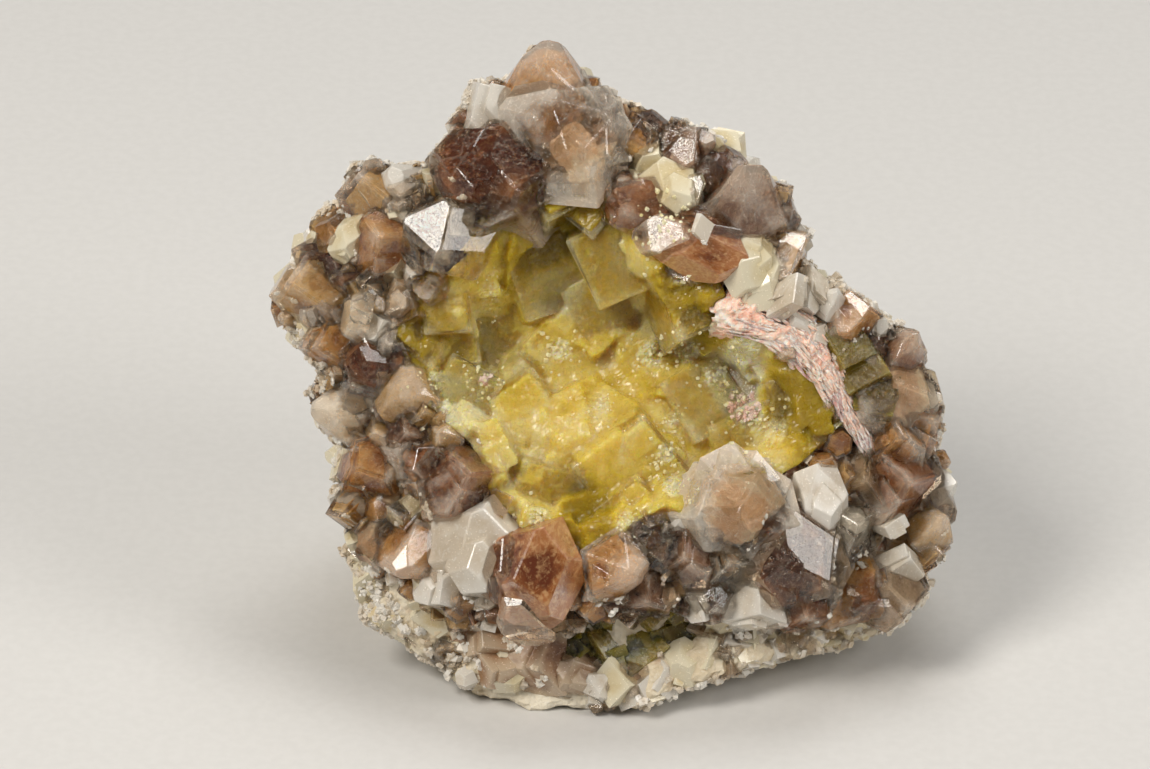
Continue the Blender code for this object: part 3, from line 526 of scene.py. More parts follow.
def glassy(name, tint, milk, absorb, milk_share, edge=(0.95, 1.35), bend=1.55):
    """Clear crystal with milky rims, healed cracks and silky veils. bend is its index of refraction."""
    f = Finish(name)
    own, shade, spot = f.own(), f.shade(), f.spot()
    drift = f.drift(own, shade)
    cloud = f.noise(drift, 1.7, 3.0, 0.6, 0.5)
    silk = f.silk(drift, 12.0, 1.4, 2.0, 0.6, 1.0)
    cracks = f.cells(f.vector("ADD", drift, cloud * 0.8), 2.2, feature="DISTANCE_TO_EDGE")
    cracks = f.smooth(cracks, 0.0, 0.035, 1.0, 0.0)
    fine = f.noise(spot, 1600.0, 2.0, 0.6)
    specks = f.smooth(f.noise(spot, 2700.0, 1.0), 0.68, 0.74)
    normal = f.bump(silk * 0.3 + fine * 0.10, 0.25, 0.2)
    roughness = f.smooth(fine, 0.35, 0.75, 0.03, 0.15)
    clear = f.surface((*tint, 1), roughness, normal, Transmission_Weight=1.0, IOR=bend)
    veil = f.surface(f.blend(cloud, milk, tint), roughness + 0.12, normal, IOR=bend)
    rim = f.smooth(f.length(own) + (cloud - 0.5) * 0.6, *edge) * milk_share
    share = f.clamped(rim + f.smooth(silk, 0.54, 0.8) * 0.2 + specks * 0.25 + cracks * 0.08)
    return f.done(f.mix_surfaces(share, clear, veil), absorb)


def druse(name, white, dirt):
    """A coat of tiny white calcite crystals."""
    f = Finish(name)
    spot, shade = f.spot(), f.shade()
    grime = f.noise(spot, 260.0, 4.0, 0.6)
    fine = f.noise(spot, 3000.0, 3.0, 0.6)
    colour = f.blend(f.smooth(grime + shade * 0.3, 0.5, 0.9), white, dirt)
    colour = f.blend(f.smooth(fine, 0.55, 0.75) * 0.5, colour, (0.96, 0.93, 0.88))
    return f.done(f.surface(
        colour, f.smooth(fine, 0.3, 0.7, 0.25, 0.5), f.bump(fine, 0.3, 0.1), Transmission_Weight=0.2, IOR=1.5,
    ))


def rock_finish(name, pale, warm, brown):
    """The pale matrix: sugary calcite stained in its hollows."""
    f = Finish(name)
    spot = f.spot()
    cloud = f.noise(spot, 70.0, 5.0, 0.6, 0.3)
    grain = f.cells(spot, 900.0)
    fine = f.noise(spot, 2400.0, 4.0, 0.65)
    colour = f.blend(f.smooth(cloud, 0.40, 0.66), pale, warm)
    colour = f.blend(f.smooth(f.noise(spot, 210.0, 4.0, 0.6), 0.56, 0.74) * 0.7, colour, brown)
    colour = f.blend(f.smooth(fine, 0.5, 0.75) * 0.45, colour, (0.93, 0.90, 0.84))
    height = fine * 0.6 - grain * 0.8
    return f.done(f.surface(
        colour, f.smooth(fine, 0.3, 0.7, 0.3, 0.62), f.bump(height, 0.6, 0.5), IOR=1.5,
    ))


def crust_finish(name, dark, mid, frost):
    """The brown ground between the crystals, frosted on its high spots and along its outer edge."""
    f = Finish(name)
    spot = f.spot()
    cloud = f.noise(spot, 130.0, 5.0, 0.65, 0.4)
    fine = f.noise(spot, 1900.0, 5.0, 0.65)
    cell = f.cells(spot, 560.0)
    colour = f.blend(f.smooth(cloud, 0.36, 0.66), dark, mid)
    rim = f.smooth(f.shade() + (cloud - 0.5) * 0.3, 0.72, 0.92)
    white = f.clamped(f.smooth(fine + cloud * 0.4 - cell * 0.35, 0.50, 0.72) + rim)
    colour = f.blend(white * 0.85, colour, frost)
    return f.done(f.surface(
        colour, f.smooth(fine, 0.3, 0.7, 0.22, 0.55), f.bump(fine * 0.7 - cell * 0.9, 0.7, 0.5), IOR=1.5,
    ))


FLUORITE_BEND = 1.434
# Growth steps on fluorite are boxes of this shape.
STEP_SHAPE = (1.0, 0.6, 1.3)


def olive_fluorite(name, deep, bright, pale):
    """The shaded fluorite: glassy, cloudy inside, with growth steps and a little sugar on it."""
    f = Finish(name)
    own, shade, spot = f.own(), f.shade(), f.spot()
    cloud = f.noise(spot, 105.0, 4.0, 0.55, 0.6)
    wisp = f.noise(spot, 380.0, 5.0, 0.65, 1.0)
    fine = f.noise(spot, 1800.0, 4.0, 0.6)
    steps = f.cells(f.vector("MULTIPLY", spot, STEP_SHAPE), 500.0, distance="CHEBYCHEV")
    colour = f.blend(f.smooth(cloud + shade * 0.12, 0.36, 0.66), deep, bright)
    colour = f.blend(f.smooth(wisp, 0.46, 0.74) * 0.55, colour, pale)
    colour = f.blend(f.smooth(f.length(own), 1.45, 1.7) * 0.3, colour, pale)
    specks = f.smooth(f.noise(spot, 2300.0, 3.0) + (wisp - 0.5) * 0.35, 0.66, 0.74)
    colour = f.blend(specks * 0.35, colour, (0.97, 0.92, 0.70))
    height = fine * 0.5 + wisp * 0.8 + steps * 0.4 + specks * 0.4
    return f.done(f.surface(
        colour, f.smooth(fine, 0.35, 0.75, 0.12, 0.36) + specks * 0.2, f.bump(height, 0.4, 0.35),
        Transmission_Weight=0.6, IOR=FLUORITE_BEND, Subsurface_Weight=1.0, Subsurface_Radius=(1.0, 0.8, 0.2),
        Subsurface_Scale=3.0 * MM, Coat_Weight=0.2, Coat_Roughness=0.06,
    ))


def fibrous_finish(name):
    """Pink, orange, white and plum satin of the vein, its colours drifting slowly along it."""
    f = Finish(name)
    own, shade, spot = f.own(), f.shade(), f.spot()
    fine = f.noise(spot, 1900.0, 4.0, 0.6)
    cloud = f.noise(spot, 230.0, 4.0, 0.65, 0.8)
    silk = f.silk(f.drift(own, shade, 29.0), 6.0, 0.7, 3.0)
    colour = f.ramp(
        cloud + shade * 0.16 - 0.08, (0.30, (0.94, 0.88, 0.78)), (0.40, (0.93, 0.72, 0.60)),
        (0.47, (0.88, 0.47, 0.34)), (0.54, (0.94, 0.82, 0.72)), (0.62, (0.60, 0.28, 0.25)),
        (0.72, (0.90, 0.78, 0.68)),
    )
    colour = f.blend(f.smooth(silk, 0.45, 0.75) * 0.45, colour, (0.92, 0.86, 0.78))
    return f.done(f.surface(
        colour, f.smooth(fine, 0.3, 0.7, 0.3, 0.55), f.bump(silk * 0.4 + fine * 0.6, 0.5, 0.3), IOR=1.5,
        Subsurface_Weight=0.5, Subsurface_Radius=(1.0, 0.6, 0.4), Subsurface_Scale=0.6 * MM,
    ))


# Each look of the calcite: its heart, middle and rim colours, how clear it is, and how silky.
LOOKS = {
    "amber": ((0.34, 0.11, 0.018), (0.70, 0.35, 0.075), (0.86, 0.64, 0.31), 0.12),
    "rust": ((0.13, 0.030, 0.010), (0.40, 0.14, 0.035), (0.70, 0.43, 0.20), 0.28),
    "plum": ((0.085, 0.028, 0.016), (0.32, 0.14, 0.065), (0.64, 0.43, 0.25), 0.28),
    "honey": ((0.50, 0.26, 0.060), (0.76, 0.50, 0.18), (0.90, 0.75, 0.45), 0.1),
    "blush": ((0.74, 0.45, 0.24), (0.90, 0.69, 0.45), (0.97, 0.88, 0.68), 0.1),
    "grey": ((0.24, 0.15, 0.080), (0.48, 0.34, 0.20), (0.72, 0.58, 0.39), 0.25),
    "frost": ((0.68, 0.57, 0.43), (0.86, 0.78, 0.65), (0.95, 0.91, 0.83), 0.3, 0.7),
    "straw": ((0.62, 0.43, 0.20), (0.78, 0.62, 0.37), (0.90, 0.80, 0.58), 0.2, 0.5),
    "cream": ((0.70, 0.55, 0.29), (0.84, 0.72, 0.45), (0.93, 0.86, 0.66), 0.25, 0.5),
}
# The looks whose crystals are a clear shell round a cloudy heart.
HEARTED = ("amber", "rust", "plum", "honey", "blush", "grey")
# Each group of clear shells: the colour and density of what it absorbs, its milk, and how much milk.
SHELLS = {
    "warm_shells": ((0.95, 0.66, 0.32), 150.0, (0.88, 0.62, 0.38), 0.32),
    "pale_shells": ((0.97, 0.82, 0.60), 60.0, (0.94, 0.79, 0.59), 0.38),
    "clear_shells": ((0.95, 0.82, 0.60), 90.0, (0.88, 0.70, 0.48), 0.32),
    "small_shells": ((0.95, 0.68, 0.36), 260.0, (0.88, 0.64, 0.40), 0.32),
}


# Crystal forms


def direction(tilt, azimuth):
    """Unit vector tilted from a crystal's long axis, in degrees."""
    t, a = radians(tilt), radians(azimuth)
    return Vector((sin(t) * cos(a), sin(t) * sin(a), cos(t)))


def threefold(tilt, distance, start=0, split=0):
    """Three faces round the long axis, or six where split parts each into two."""
    turns = (-split, split) if split else (0,)
    return [(direction(tilt, start + 120 * k + s), distance) for k in range(3) for s in turns]


def knobbly(count):
    """Faces spread evenly over a ball, at slightly different distances."""
    golden = pi * (3 - sqrt(5))
    faces = []
    for k in range(count):
        z = 1 - 2 * (k + 0.5) / count
        ring = sqrt(1 - z * z)
        faces.append((Vector((ring * cos(golden * k), ring * sin(golden * k), z)), 0.9 + 0.05 * (k % 3)))
    return faces


def slab():
    """A thin plate with a four-sided outline that comes to a point at each end."""
    sides = [(Vector((0, s, 0)), 0.16) for s in (-1, 1)]
    return sides + [(Vector((0.82 * a, 0, 0.57 * b)), 0.72) for a in (-1, 1) for b in (-1, 1)]


FOOT = (Vector((0, 0, -1)), 0.9)
# Each form as its faces: outward direction, and distance from the centre as a share of half the size.
FORMS = {
    "tooth": threefold(64, 0.95, 0, 19) + threefold(118, 0.95, 60, 19) + threefold(44, 1.12, 60) + [FOOT],
    "blunt": threefold(82, 0.95, 0, 29) + threefold(52, 0.80, 25) + [FOOT],
    "flat": threefold(78, 0.95, 0, 30) + threefold(30, 0.62, 10) + [FOOT],
    "rhomb": threefold(50, 0.78) + threefold(130, 0.78, 60),
    "blade": slab(),
    "lens": knobbly(15),
    "knob": knobbly(20),
    "cube": [(side * Vector(axis), 1.0) for axis in ((1, 0, 0), (0, 1, 0), (0, 0, 1)) for side in (1, -1)],
    "needle": threefold(90, 1.0) + threefold(90, 1.05, 60) + threefold(25, 0.95) + [FOOT],
}


def added(operator, **settings):
    """The object that an operator adds."""
    bpy.ops.object.select_all(action="DESELECT")
    operator(**settings)
    return bpy.context.object


def joined(parts):
    """Joins objects into the first of them."""
    bpy.ops.object.select_all(action="DESELECT")
    for part in parts:
        part.select_set(True)
    bpy.context.view_layer.objects.active = parts[0]
    if len(parts) > 1:
        bpy.ops.object.join()
    return parts[0]


def modified(obj, kind, **settings):
    """Changes the mesh of the active object by a modifier of that kind."""
    modifier = obj.modifiers.new(kind.lower(), kind)
    for name, value in settings.items():
        setattr(modifier, name, value)
    bpy.ops.object.modifier_apply(modifier=modifier.name)


def jitter(draw, most):
    return Vector([draw.uniform(-most, most) for _ in range(3)])


def edit_mode(obj):
    bpy.ops.object.select_all(action="DESELECT")
    obj.select_set(True)
    bpy.context.view_layer.objects.active = obj
    bpy.ops.object.mode_set(mode="EDIT")
    bpy.ops.mesh.select_all(action="SELECT")


def object_mode():
    bpy.ops.object.mode_set(mode="OBJECT")


def patterned(obj, unit=1.0):
    """Gives a mesh the two attributes that the finishes read. unit is the length that counts as one."""
    for name in ("own", "shade"):
        if name in obj.data.attributes:
            obj.data.attributes.remove(obj.data.attributes[name])
    own = obj.data.attributes.new("own", "FLOAT_VECTOR", "POINT")
    own.data.foreach_set("vector", [c / unit for vert in obj.data.vertices for c in vert.co])
    obj.data.attributes.new("shade", "FLOAT", "POINT")
    return obj


def cut_form(name, faces, eased=0.0, wander=0.0, seed=0):
    """A block cut by a plane for each face. wander shifts and tilts the planes, eased bevels the edges."""
    draw = random.Random(seed)
    form = added(bpy.ops.mesh.primitive_cube_add, size=6)
    form.name = name
    edit_mode(form)
    for normal, distance in faces:
        tilted = (normal + jitter(draw, wander)).normalized()
        bpy.ops.mesh.select_all(action="SELECT")
        bpy.ops.mesh.bisect(
            plane_co=tilted * distance * (1 + draw.uniform(-wander, wander)), plane_no=tilted, use_fill=True,
            clear_outer=True,
        )
    bpy.ops.mesh.select_all(action="SELECT")
    bpy.ops.mesh.remove_doubles(threshold=0.01)
    if eased:
        bpy.ops.mesh.bevel(offset=eased, segments=1)
        bpy.ops.mesh.select_all(action="SELECT")
    bpy.ops.mesh.normals_make_consistent(inside=False)
    object_mode()
    return patterned(form)


def copied(form, matrix, shade):
    """One more of a form, with its own mesh, laid in place."""
    copy = bpy.data.objects.new(form.name, form.data.copy())
    bpy.context.scene.collection.objects.link(copy)
    copy.data.transform(matrix)
    copy.data.attributes["shade"].data.foreach_set("value", [shade] * len(copy.data.vertices))
    return copy


def united(form, name, others):
    """A copy of form with the others merged into it as one closed skin."""
    whole = copied(form, Matrix.Identity(4), 0)
    whole.name = name
    bpy.context.view_layer.objects.active = whole
    for other in others:
        modified(whole, "BOOLEAN", operation="UNION", object=other, solver="EXACT")
        bpy.data.objects.remove(other)
    return patterned(whole)


def grown(form, name, count, tilt, spread, least, seed):
    """A form with smaller ones of its kind grown out of it, almost in parallel."""
    draw = random.Random(seed)
    others = []
    for _ in range(count):
        out = direction(draw.uniform(20, 120), draw.uniform(0, 360)) * spread * draw.uniform(0.7, 1.1)
        turn = Euler([radians(draw.uniform(-tilt, tilt)) for _ in range(3)]).to_matrix().to_4x4()
        matrix = Matrix.Translation(out) @ turn @ Matrix.Scale(draw.uniform(least, least + 0.3), 4)
        others.append(copied(form, matrix, 0))
    return united(form, name, others)


def stepped(form, name, count, seed):
    """A cube with smaller cubes standing a little out of its faces, all in parallel."""
    draw = random.Random(seed)
    others = []
    for _ in range(count):
        half = draw.uniform(0.3, 0.8)
        spot = [draw.uniform(-1, 1) * (1.05 - half) for _ in range(3)]
        spot[draw.randrange(3)] = draw.choice((-1, 1, 1)) * (1 + draw.uniform(0.01, 0.07) - half)
        others.append(copied(form, Matrix.Translation(spot) @ Matrix.Scale(half, 4), 0))
    return united(form, name, others)


# How each form grows: its base, how many grow out of it, their tilt, how far out, and how small.
GROWTH = {
    "tooth": ("tooth", 3, 14, 0.55, 0.35), "blunt": ("blunt", 4, 14, 0.6, 0.4),
    "flat": ("flat", 4, 12, 0.6, 0.4), "rhomb": ("rhomb", 3, 8, 0.6, 0.4),
    "blade": ("blade", 2, 10, 0.35, 0.5), "lens": ("lens", 3, 20, 0.5, 0.45),
    "knob": ("flat", 9, 38, 0.42, 0.62),
}
SINGLE, HEROES, SMALL = {}, {}, {}
CLUMPS = []


def clump(seed):
    """A pinch of six tiny crystals that stand on one spot."""
    draw = random.Random(seed)
    parts = []
    for _ in range(6):
        angle, far = draw.uniform(0, 2 * pi), draw.uniform(0, 1)
        axis = Vector([draw.uniform(-0.7, 0.7), draw.uniform(-0.7, 0.7), 1]).normalized()
        seat = Vector((far * cos(angle), far * sin(angle), draw.uniform(-0.15, 0.1)))
        turn = turned(axis, draw.uniform(0, 360)).to_4x4()
        matrix = Matrix.Translation(seat) @ turn @ Matrix.Scale(draw.uniform(0.25, 0.62), 4)
        parts.append(copied(draw.choice(SMALL["rhomb"]), matrix, 0))
    return joined(parts)


def make_forms():
    for name, faces in FORMS.items():
        SINGLE[name] = [cut_form(name, faces, 0.03, 0.07, k) for k in range(3)]
        SMALL[name] = [cut_form(name + "_small", faces, 0.0, 0.10, k + 7) for k in range(4)]
    for name, (base, *growth) in GROWTH.items():
        HEROES[name] = [grown(SINGLE[base][k], name + "_grown", *growth, k) for k in range(3)]
    CLUMPS.extend(clump(k) for k in range(6))
    HEROES["cube"] = [stepped(SINGLE["cube"][k], "cube_grown", 7, k) for k in range(3)]


def aimed(aim, spin):
    """Rotation that lays a crystal's long axis along aim, given as its lean across and up the face."""
    return turned((ACROSS * aim[0] + UP * aim[1] + OUT).normalized(), spin)


def turned(along, spin):
    return along.to_track_quat("Z", "Y").to_matrix() @ Matrix.Rotation(radians(spin), 3, "Z")


def laid(seat, turn, size):
    """The matrix that lays a form of half sizes size at seat, from millimetres to metres."""
    return Matrix.Scale(MM, 4) @ Matrix.Translation(seat) @ turn.to_4x4() @ Matrix.Diagonal((*size, 1))


def overhang(form, matrix):
    """The shift in millimetres that brings a laid form back inside the outline."""
    most, shift = 0.0, Vector((0, 0, 0))
    for vert in form.data.vertices:
        offset = on_face(matrix @ vert.co / MM) - CENTRE
        over = offset.length - reach(atan2(offset.y, offset.x))
        if over > most:
            most = over
            away = offset.normalized()
            shift = -(ACROSS * away.x + UP * away.y) * over
    return shift


def piece(name, parts, material, replaces=()):
    """Joins parts into one piece, with its finish and the nodes that it stands for."""
    made = joined(parts)
    made.name = made.data.name = name
    made.data.materials.clear()
    made.data.materials.append(material)
    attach(made, "root")
    if replaces:
        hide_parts(*replaces)
    return made


def crystal_matrix(form, crystal, height):
    """Where a crystal lies, moved back where it would reach past the outline."""
    half = [crystal.size / 2 * s for s in crystal.stretch]
    seat = place(crystal.u, crystal.v, height(crystal.u, crystal.v) + crystal.lift * crystal.size)
    turn = aimed(crystal.aim, crystal.spin)
    for _ in range(2):
        seat = seat + overhang(form, laid(seat, turn, half))
    return laid(seat, turn, half)


def lowest(form, matrix):
    return min((matrix @ vert.co).z for vert in form.data.vertices)


def lifted(form, matrix):
    """The matrix, raised where the form would reach under the floor."""
    return Matrix.Translation((0, 0, max(0.0, 0.3 * MM - lowest(form, matrix)))) @ matrix


# Ground

# A thousandth of a millimetre, in metres.
TINY = 1e-6
# Sizes of the cells that the ground, the pocket and the vein are made of, in millimetres.
ROCK_CELL = 0.75
POCKET_CELL = 0.42
VEIN_CELL = 0.4


def merged_copy(node, name):
    """A copy of a CAD node's mesh with its loose triangles merged."""
    copy = bpy.data.objects.new(name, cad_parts[node].data.copy())
    bpy.context.scene.collection.objects.link(copy)
    edit_mode(copy)
    bpy.ops.mesh.remove_doubles(threshold=TINY)
    bpy.ops.mesh.normals_make_consistent(inside=False)
    object_mode()
    return copy


def remeshed(obj, voxel):
    """Gives the active object an even skin of cells of that size, in millimetres."""
    modified(obj, "REMESH", mode="VOXEL", voxel_size=voxel * MM)


def displaced(obj, kind, scale, strength, middle=0.5, **settings):
    """Moves the surface of obj along its normals by a texture with cells of that scale, in millimetres."""
    texture = bpy.data.textures.new(kind.lower(), kind)
    texture.noise_scale = scale * MM
    for name, value in settings.items():
        setattr(texture, name, value)
    modified(
        obj, "DISPLACE", texture=texture, texture_coords="LOCAL", strength=strength * MM, mid_level=middle,
    )


def flat_base(obj):
    """Cuts obj off flat at the floor."""
    edit_mode(obj)
    bpy.ops.mesh.bisect(
        plane_co=(0, 0, 0), plane_no=(0, 0, -1), use_fill=True, clear_outer=True, threshold=TINY,
    )
    object_mode()


def shaped(obj, where):
    """Moves every point of obj to where(point), in millimetres."""
    for vert in obj.data.vertices:
        vert.co = where(vert.co) * MM


# How far the brown ground and the pocket's floor reach into the matrix, in millimetres.
SUNK = 2.0
# Spacing, tilt and step of the facets, and the seed of their places.
COARSE_CRUST, FINE_CRUST = facets(3.4, 0.45, 0.6, 1), facets(1.3, 0.5, 0.3, 2)
COARSE_FLOOR, FINE_FLOOR = facets(6.0, 0.30, 0.9, 3), facets(1.9, 0.20, 0.18, 4)


def tube_tilt(p):
    """How far round a ring's tube a point lies: 0 outside, pi inside."""
    return atan2(p.z, hypot(p.x, p.y) - 1)


def ring_share(tilt):
    """0 on the inner side of a ring's tube and 1 on the outer."""
    return 0.5 + 0.5 * cos(tilt)


def crust_point(p):
    """From a point of a ring to the brown ground between the crystals."""
    angle, tilt = atan2(p.y, p.x), tube_tilt(p)
    low = pocket_reach(angle) - 1.0
    share = ring_share(tilt)
    u, v = ray_point(angle, low + (crust_reach(angle) - low) * share)
    top = crust_top(u, v) - 0.6 + COARSE_CRUST(u, v) + FINE_CRUST(u, v) - 2.0 * share ** 6
    bottom = matrix_front(u, v) - SUNK
    return place(u, v, bottom + (top - bottom) * min(1.0, max(0.0, 0.5 + 0.9 * sin(tilt))))


def pocket_point(p):
    """From a point of a ball to the pocket's floor."""
    angle, share = atan2(p.y, p.x), min(1.0, hypot(p.x, p.y))
    u, v = ray_point(angle, (pocket_reach(angle) + 1.5) * share)
    top = fluorite_top(u, v) + 2.0 + COARSE_FLOOR(u, v) + FINE_FLOOR(u, v) + 0.25 * rough(u, v, 0.9, 6.0)
    return place(u, v, top if p.z > 0 else matrix_front(u, v) - SUNK)


def ground():
    """The pale matrix, and the brown ground between the crystals."""
    rock = merged_copy("calcite_matrix", "rock")
    remeshed(rock, ROCK_CELL)
    displaced(rock, "VORONOI", 3.4, 1.5, 0.35, distance_metric="DISTANCE_SQUARED")
    displaced(rock, "CLOUDS", 1.6, 0.7)
    flat_base(rock)
    stone = rock_finish("pale_matrix", (0.78, 0.71, 0.56), (0.64, 0.52, 0.34), (0.38, 0.22, 0.12))
    torus = dict(major_segments=480, minor_segments=96, major_radius=1, minor_radius=0.4)
    crust = added(bpy.ops.mesh.primitive_torus_add, **torus)
    shares = [ring_share(tube_tilt(vert.co)) for vert in crust.data.vertices]
    shaped(crust, crust_point)
    patterned(crust).data.attributes["shade"].data.foreach_set("value", shares)
    brown = crust_finish("brown_ground", (0.10, 0.035, 0.018), (0.36, 0.17, 0.08), (0.80, 0.73, 0.61))
    return [
        piece("calcite_rock", [rock], stone, ["calcite_matrix"]),
        piece("crust_ground", [crust], brown, ["brown_calcite"]),
    ]


# How much larger a clear skin is than its cube, and how far it stands out of it, in millimetres.
SKIN_GROWTH = 0.7
SKIN_RISE = 0.2
# Sugary patches of the pocket as (u, v, radius, strength).
SUGAR = (
    (6.5, 51.5, 3.0, 0.9), (11.5, 51.8, 3.0, 0.9), (-6.2, 52.0, 2.4, 1.0), (11.5, 63.5, 4.0, 1.0),
    (8.0, 70.0, 3.0, 0.9), (9.5, 33.0, 2.4, 0.9), (8.6, 37.5, 2.2, 0.9), (9.5, 42.0, 1.8, 0.6),
    (-16.7, 47.6, 2.4, 0.8), (-9.5, 28.5, 2.4, 0.8), (-16.0, 60.0, 3.4, 0.5), (19.0, 51.5, 4.0, 0.9),
    (-0.5, 44.0, 2.4, 0.6), (-24.0, 48.0, 3.4, 0.6), (20.0, 43.0, 3.6, 0.9), (24.0, 40.5, 3.2, 0.6),
    (3.0, 28.0, 3.0, 0.6), (15.5, 47.5, 3.2, 0.7), (-20.0, 44.0, 3.4, 0.4),
)
# How olive each look of cube makes the fluorite near it. The olive end is partly painted shade.
TONE_AND_SHADE = {"pale": 0.12, "yellow": 0.45, "olive": 1.0}


def sugar_share(u, v):
    shares = (k * (1 - smoothstep(0.35, 1.0, hypot(u - a, v - b) / r)) for a, b, r, k in SUGAR)
    return max(shares)


def tone_and_shade_share(u, v):
    """0 where the fluorite is palest and 1 where it is olive, partly painted shade, after the cubes that lie
    near.
    """
    near = [(1 / ((c.u - u) ** 2 + (c.v - v) ** 2 + 2) ** 3, TONE_AND_SHADE[c.look]) for c in POCKET_CUBES]
    return sum(weight * tone for weight, tone in near) / sum(weight for weight, _ in near)


def cloudy_fluorite(name):
    """The pocket's fluorite: cloudy, olive to gold to pale, sugared. Its olive is partly painted shade. own
    holds its tone, with that painted shade, and its sugar.
    """
    f = Finish(name)
    spot, own = f.spot(), f.own()
    tone, sugar = (f.add("SeparateXYZ", {0: own}, axis) for axis in ("X", "Y"))
    cloud = f.noise(spot, 130.0, 5.0, 0.6, 0.8)
    wisp = f.noise(spot, 430.0, 4.0, 0.6, 1.2)
    fine = f.noise(spot, 1800.0, 4.0, 0.6)
    # Pale to dark olive. The dark olive end is partly painted shade.
    colour = f.ramp(
        tone + (cloud - 0.5) * 1.3 + (wisp - 0.5) * 0.4, (0.05, (0.78, 0.70, 0.42)),
        (0.32, (0.75, 0.61, 0.23)), (0.50, (0.72, 0.53, 0.10)), (0.72, (0.58, 0.41, 0.035)),
        (1.0, (0.37, 0.25, 0.014)),
    )
    specks = f.smooth(f.noise(spot, 2300.0, 3.0) + sugar * 0.12, 0.68, 0.74)
    white = f.smooth(sugar + (wisp - 0.5) * 0.9 + (fine - 0.5) * 0.9, 0.35, 0.95) * 0.7 + specks * 0.25
    colour = f.blend(f.clamped(white), colour, (0.97, 0.90, 0.56))
    steps = f.cells(f.vector("MULTIPLY", spot, STEP_SHAPE), 420.0, distance="CHEBYCHEV")
    height = fine * (0.06 + sugar * 0.9) + steps * 0.6
    return f.done(f.surface(
        colour, f.smooth(wisp + (fine - 0.5) * 0.6, 0.3, 0.7, 0.16, 0.42) + sugar * 0.2,
        f.bump(height, 0.35, 0.35), Transmission_Weight=0.15, IOR=FLUORITE_BEND, Subsurface_Weight=1.0,
        Subsurface_Radius=(1.0, 0.8, 0.15), Subsurface_Scale=4.0 * MM,
    ))


def small_cube(draw):
    """A small cube of the pocket, turned much as the nearest large one."""
    angle = draw.uniform(0, 2 * pi)
    u, v = ray_point(angle, pocket_reach(angle) * draw.uniform(0.2, 1.0) ** 0.4)
    near = min(POCKET_CUBES, key=lambda c: (c.u - u) ** 2 + (c.v - v) ** 2)
    tip = (near.tip[0] + draw.uniform(-0.15, 0.15), near.tip[1] + draw.uniform(-0.15, 0.15))
    size, rise = draw.uniform(1.5, 4.0), draw.uniform(1.2, 2.0)
    cube = Cube(u, v, size, rise, near.turn + draw.uniform(-6, 6), tip)
    return copied(draw.choice(SMALL["cube"]), cube_matrix(cube, fluorite_top), 0)


def worn(made):
    """Roughens the pocket's surface, most where it is sugary, and gives each point its tone, partly painted
    shade, and sugar.
    """
    shares = []
    for vert in made.data.vertices:
        point = vert.co / MM
        u, v = on_face(point)
        sugar = sugar_share(u, v)
        grain = noise.noise(point * 1.9) + 0.6 * noise.noise(point * 3.7)
        vert.co += OUT * MM * (0.16 * noise.noise(point * 0.8) + 0.07 * grain + 0.7 * sugar * grain)
        shares.extend((tone_and_shade_share(u, v), sugar, 0))
    patterned(made)
    made.data.attributes["own"].data.foreach_set("vector", shares)


def skins(draw):
    """The clear skins of the large cubes."""
    parts = []
    for cube in POCKET_CUBES:
        proud = cube._replace(size=cube.size + SKIN_GROWTH, rise=cube.rise + SKIN_RISE)
        parts.append(copied(SINGLE["cube"][len(parts) % 3], cube_matrix(proud, fluorite_top), draw.random()))
    absorb = ((0.98, 0.88, 0.35), 120.0)
    clear = glassy(
        "clear_fluorite", (1.0, 0.97, 0.80), (0.88, 0.76, 0.24), absorb, 0.25, (1.3, 1.7), FLUORITE_BEND,
    )
    return piece("fluorite_skins", parts, clear)


def pocket():
    """Floor and cubes of the pocket grown into one body, and the clear skins of the large cubes."""
    draw = random.Random(23)
    floor = added(bpy.ops.mesh.primitive_uv_sphere_add, segments=200, ring_count=110, radius=1)
    shaped(floor, pocket_point)
    parts = [patterned(floor)]
    for cube in POCKET_CUBES:
        parts.append(copied(draw.choice(HEROES["cube"]), cube_matrix(cube, fluorite_top), 0))
    parts += [small_cube(draw) for _ in range(SMALL_CUBES)]
    finish = cloudy_fluorite("cloudy_fluorite")
    made = piece("pocket_mass", parts, finish, ["pocket_fluorite"])
    remeshed(made, POCKET_CELL)
    modified(made, "SMOOTH", factor=0.4, iterations=1)
    worn(made)
    return [made, skins(draw)]


# Crystals

ALL_CRYSTALS = CROWN + UPPER_RIGHT + RIGHT_FLANK + LOWER_RIGHT + LOWER_LEFT + LEFT_FLANK
# Least and most size of a heart, as a share of its shell's.
HEART_SHARE = (0.74, 0.86)


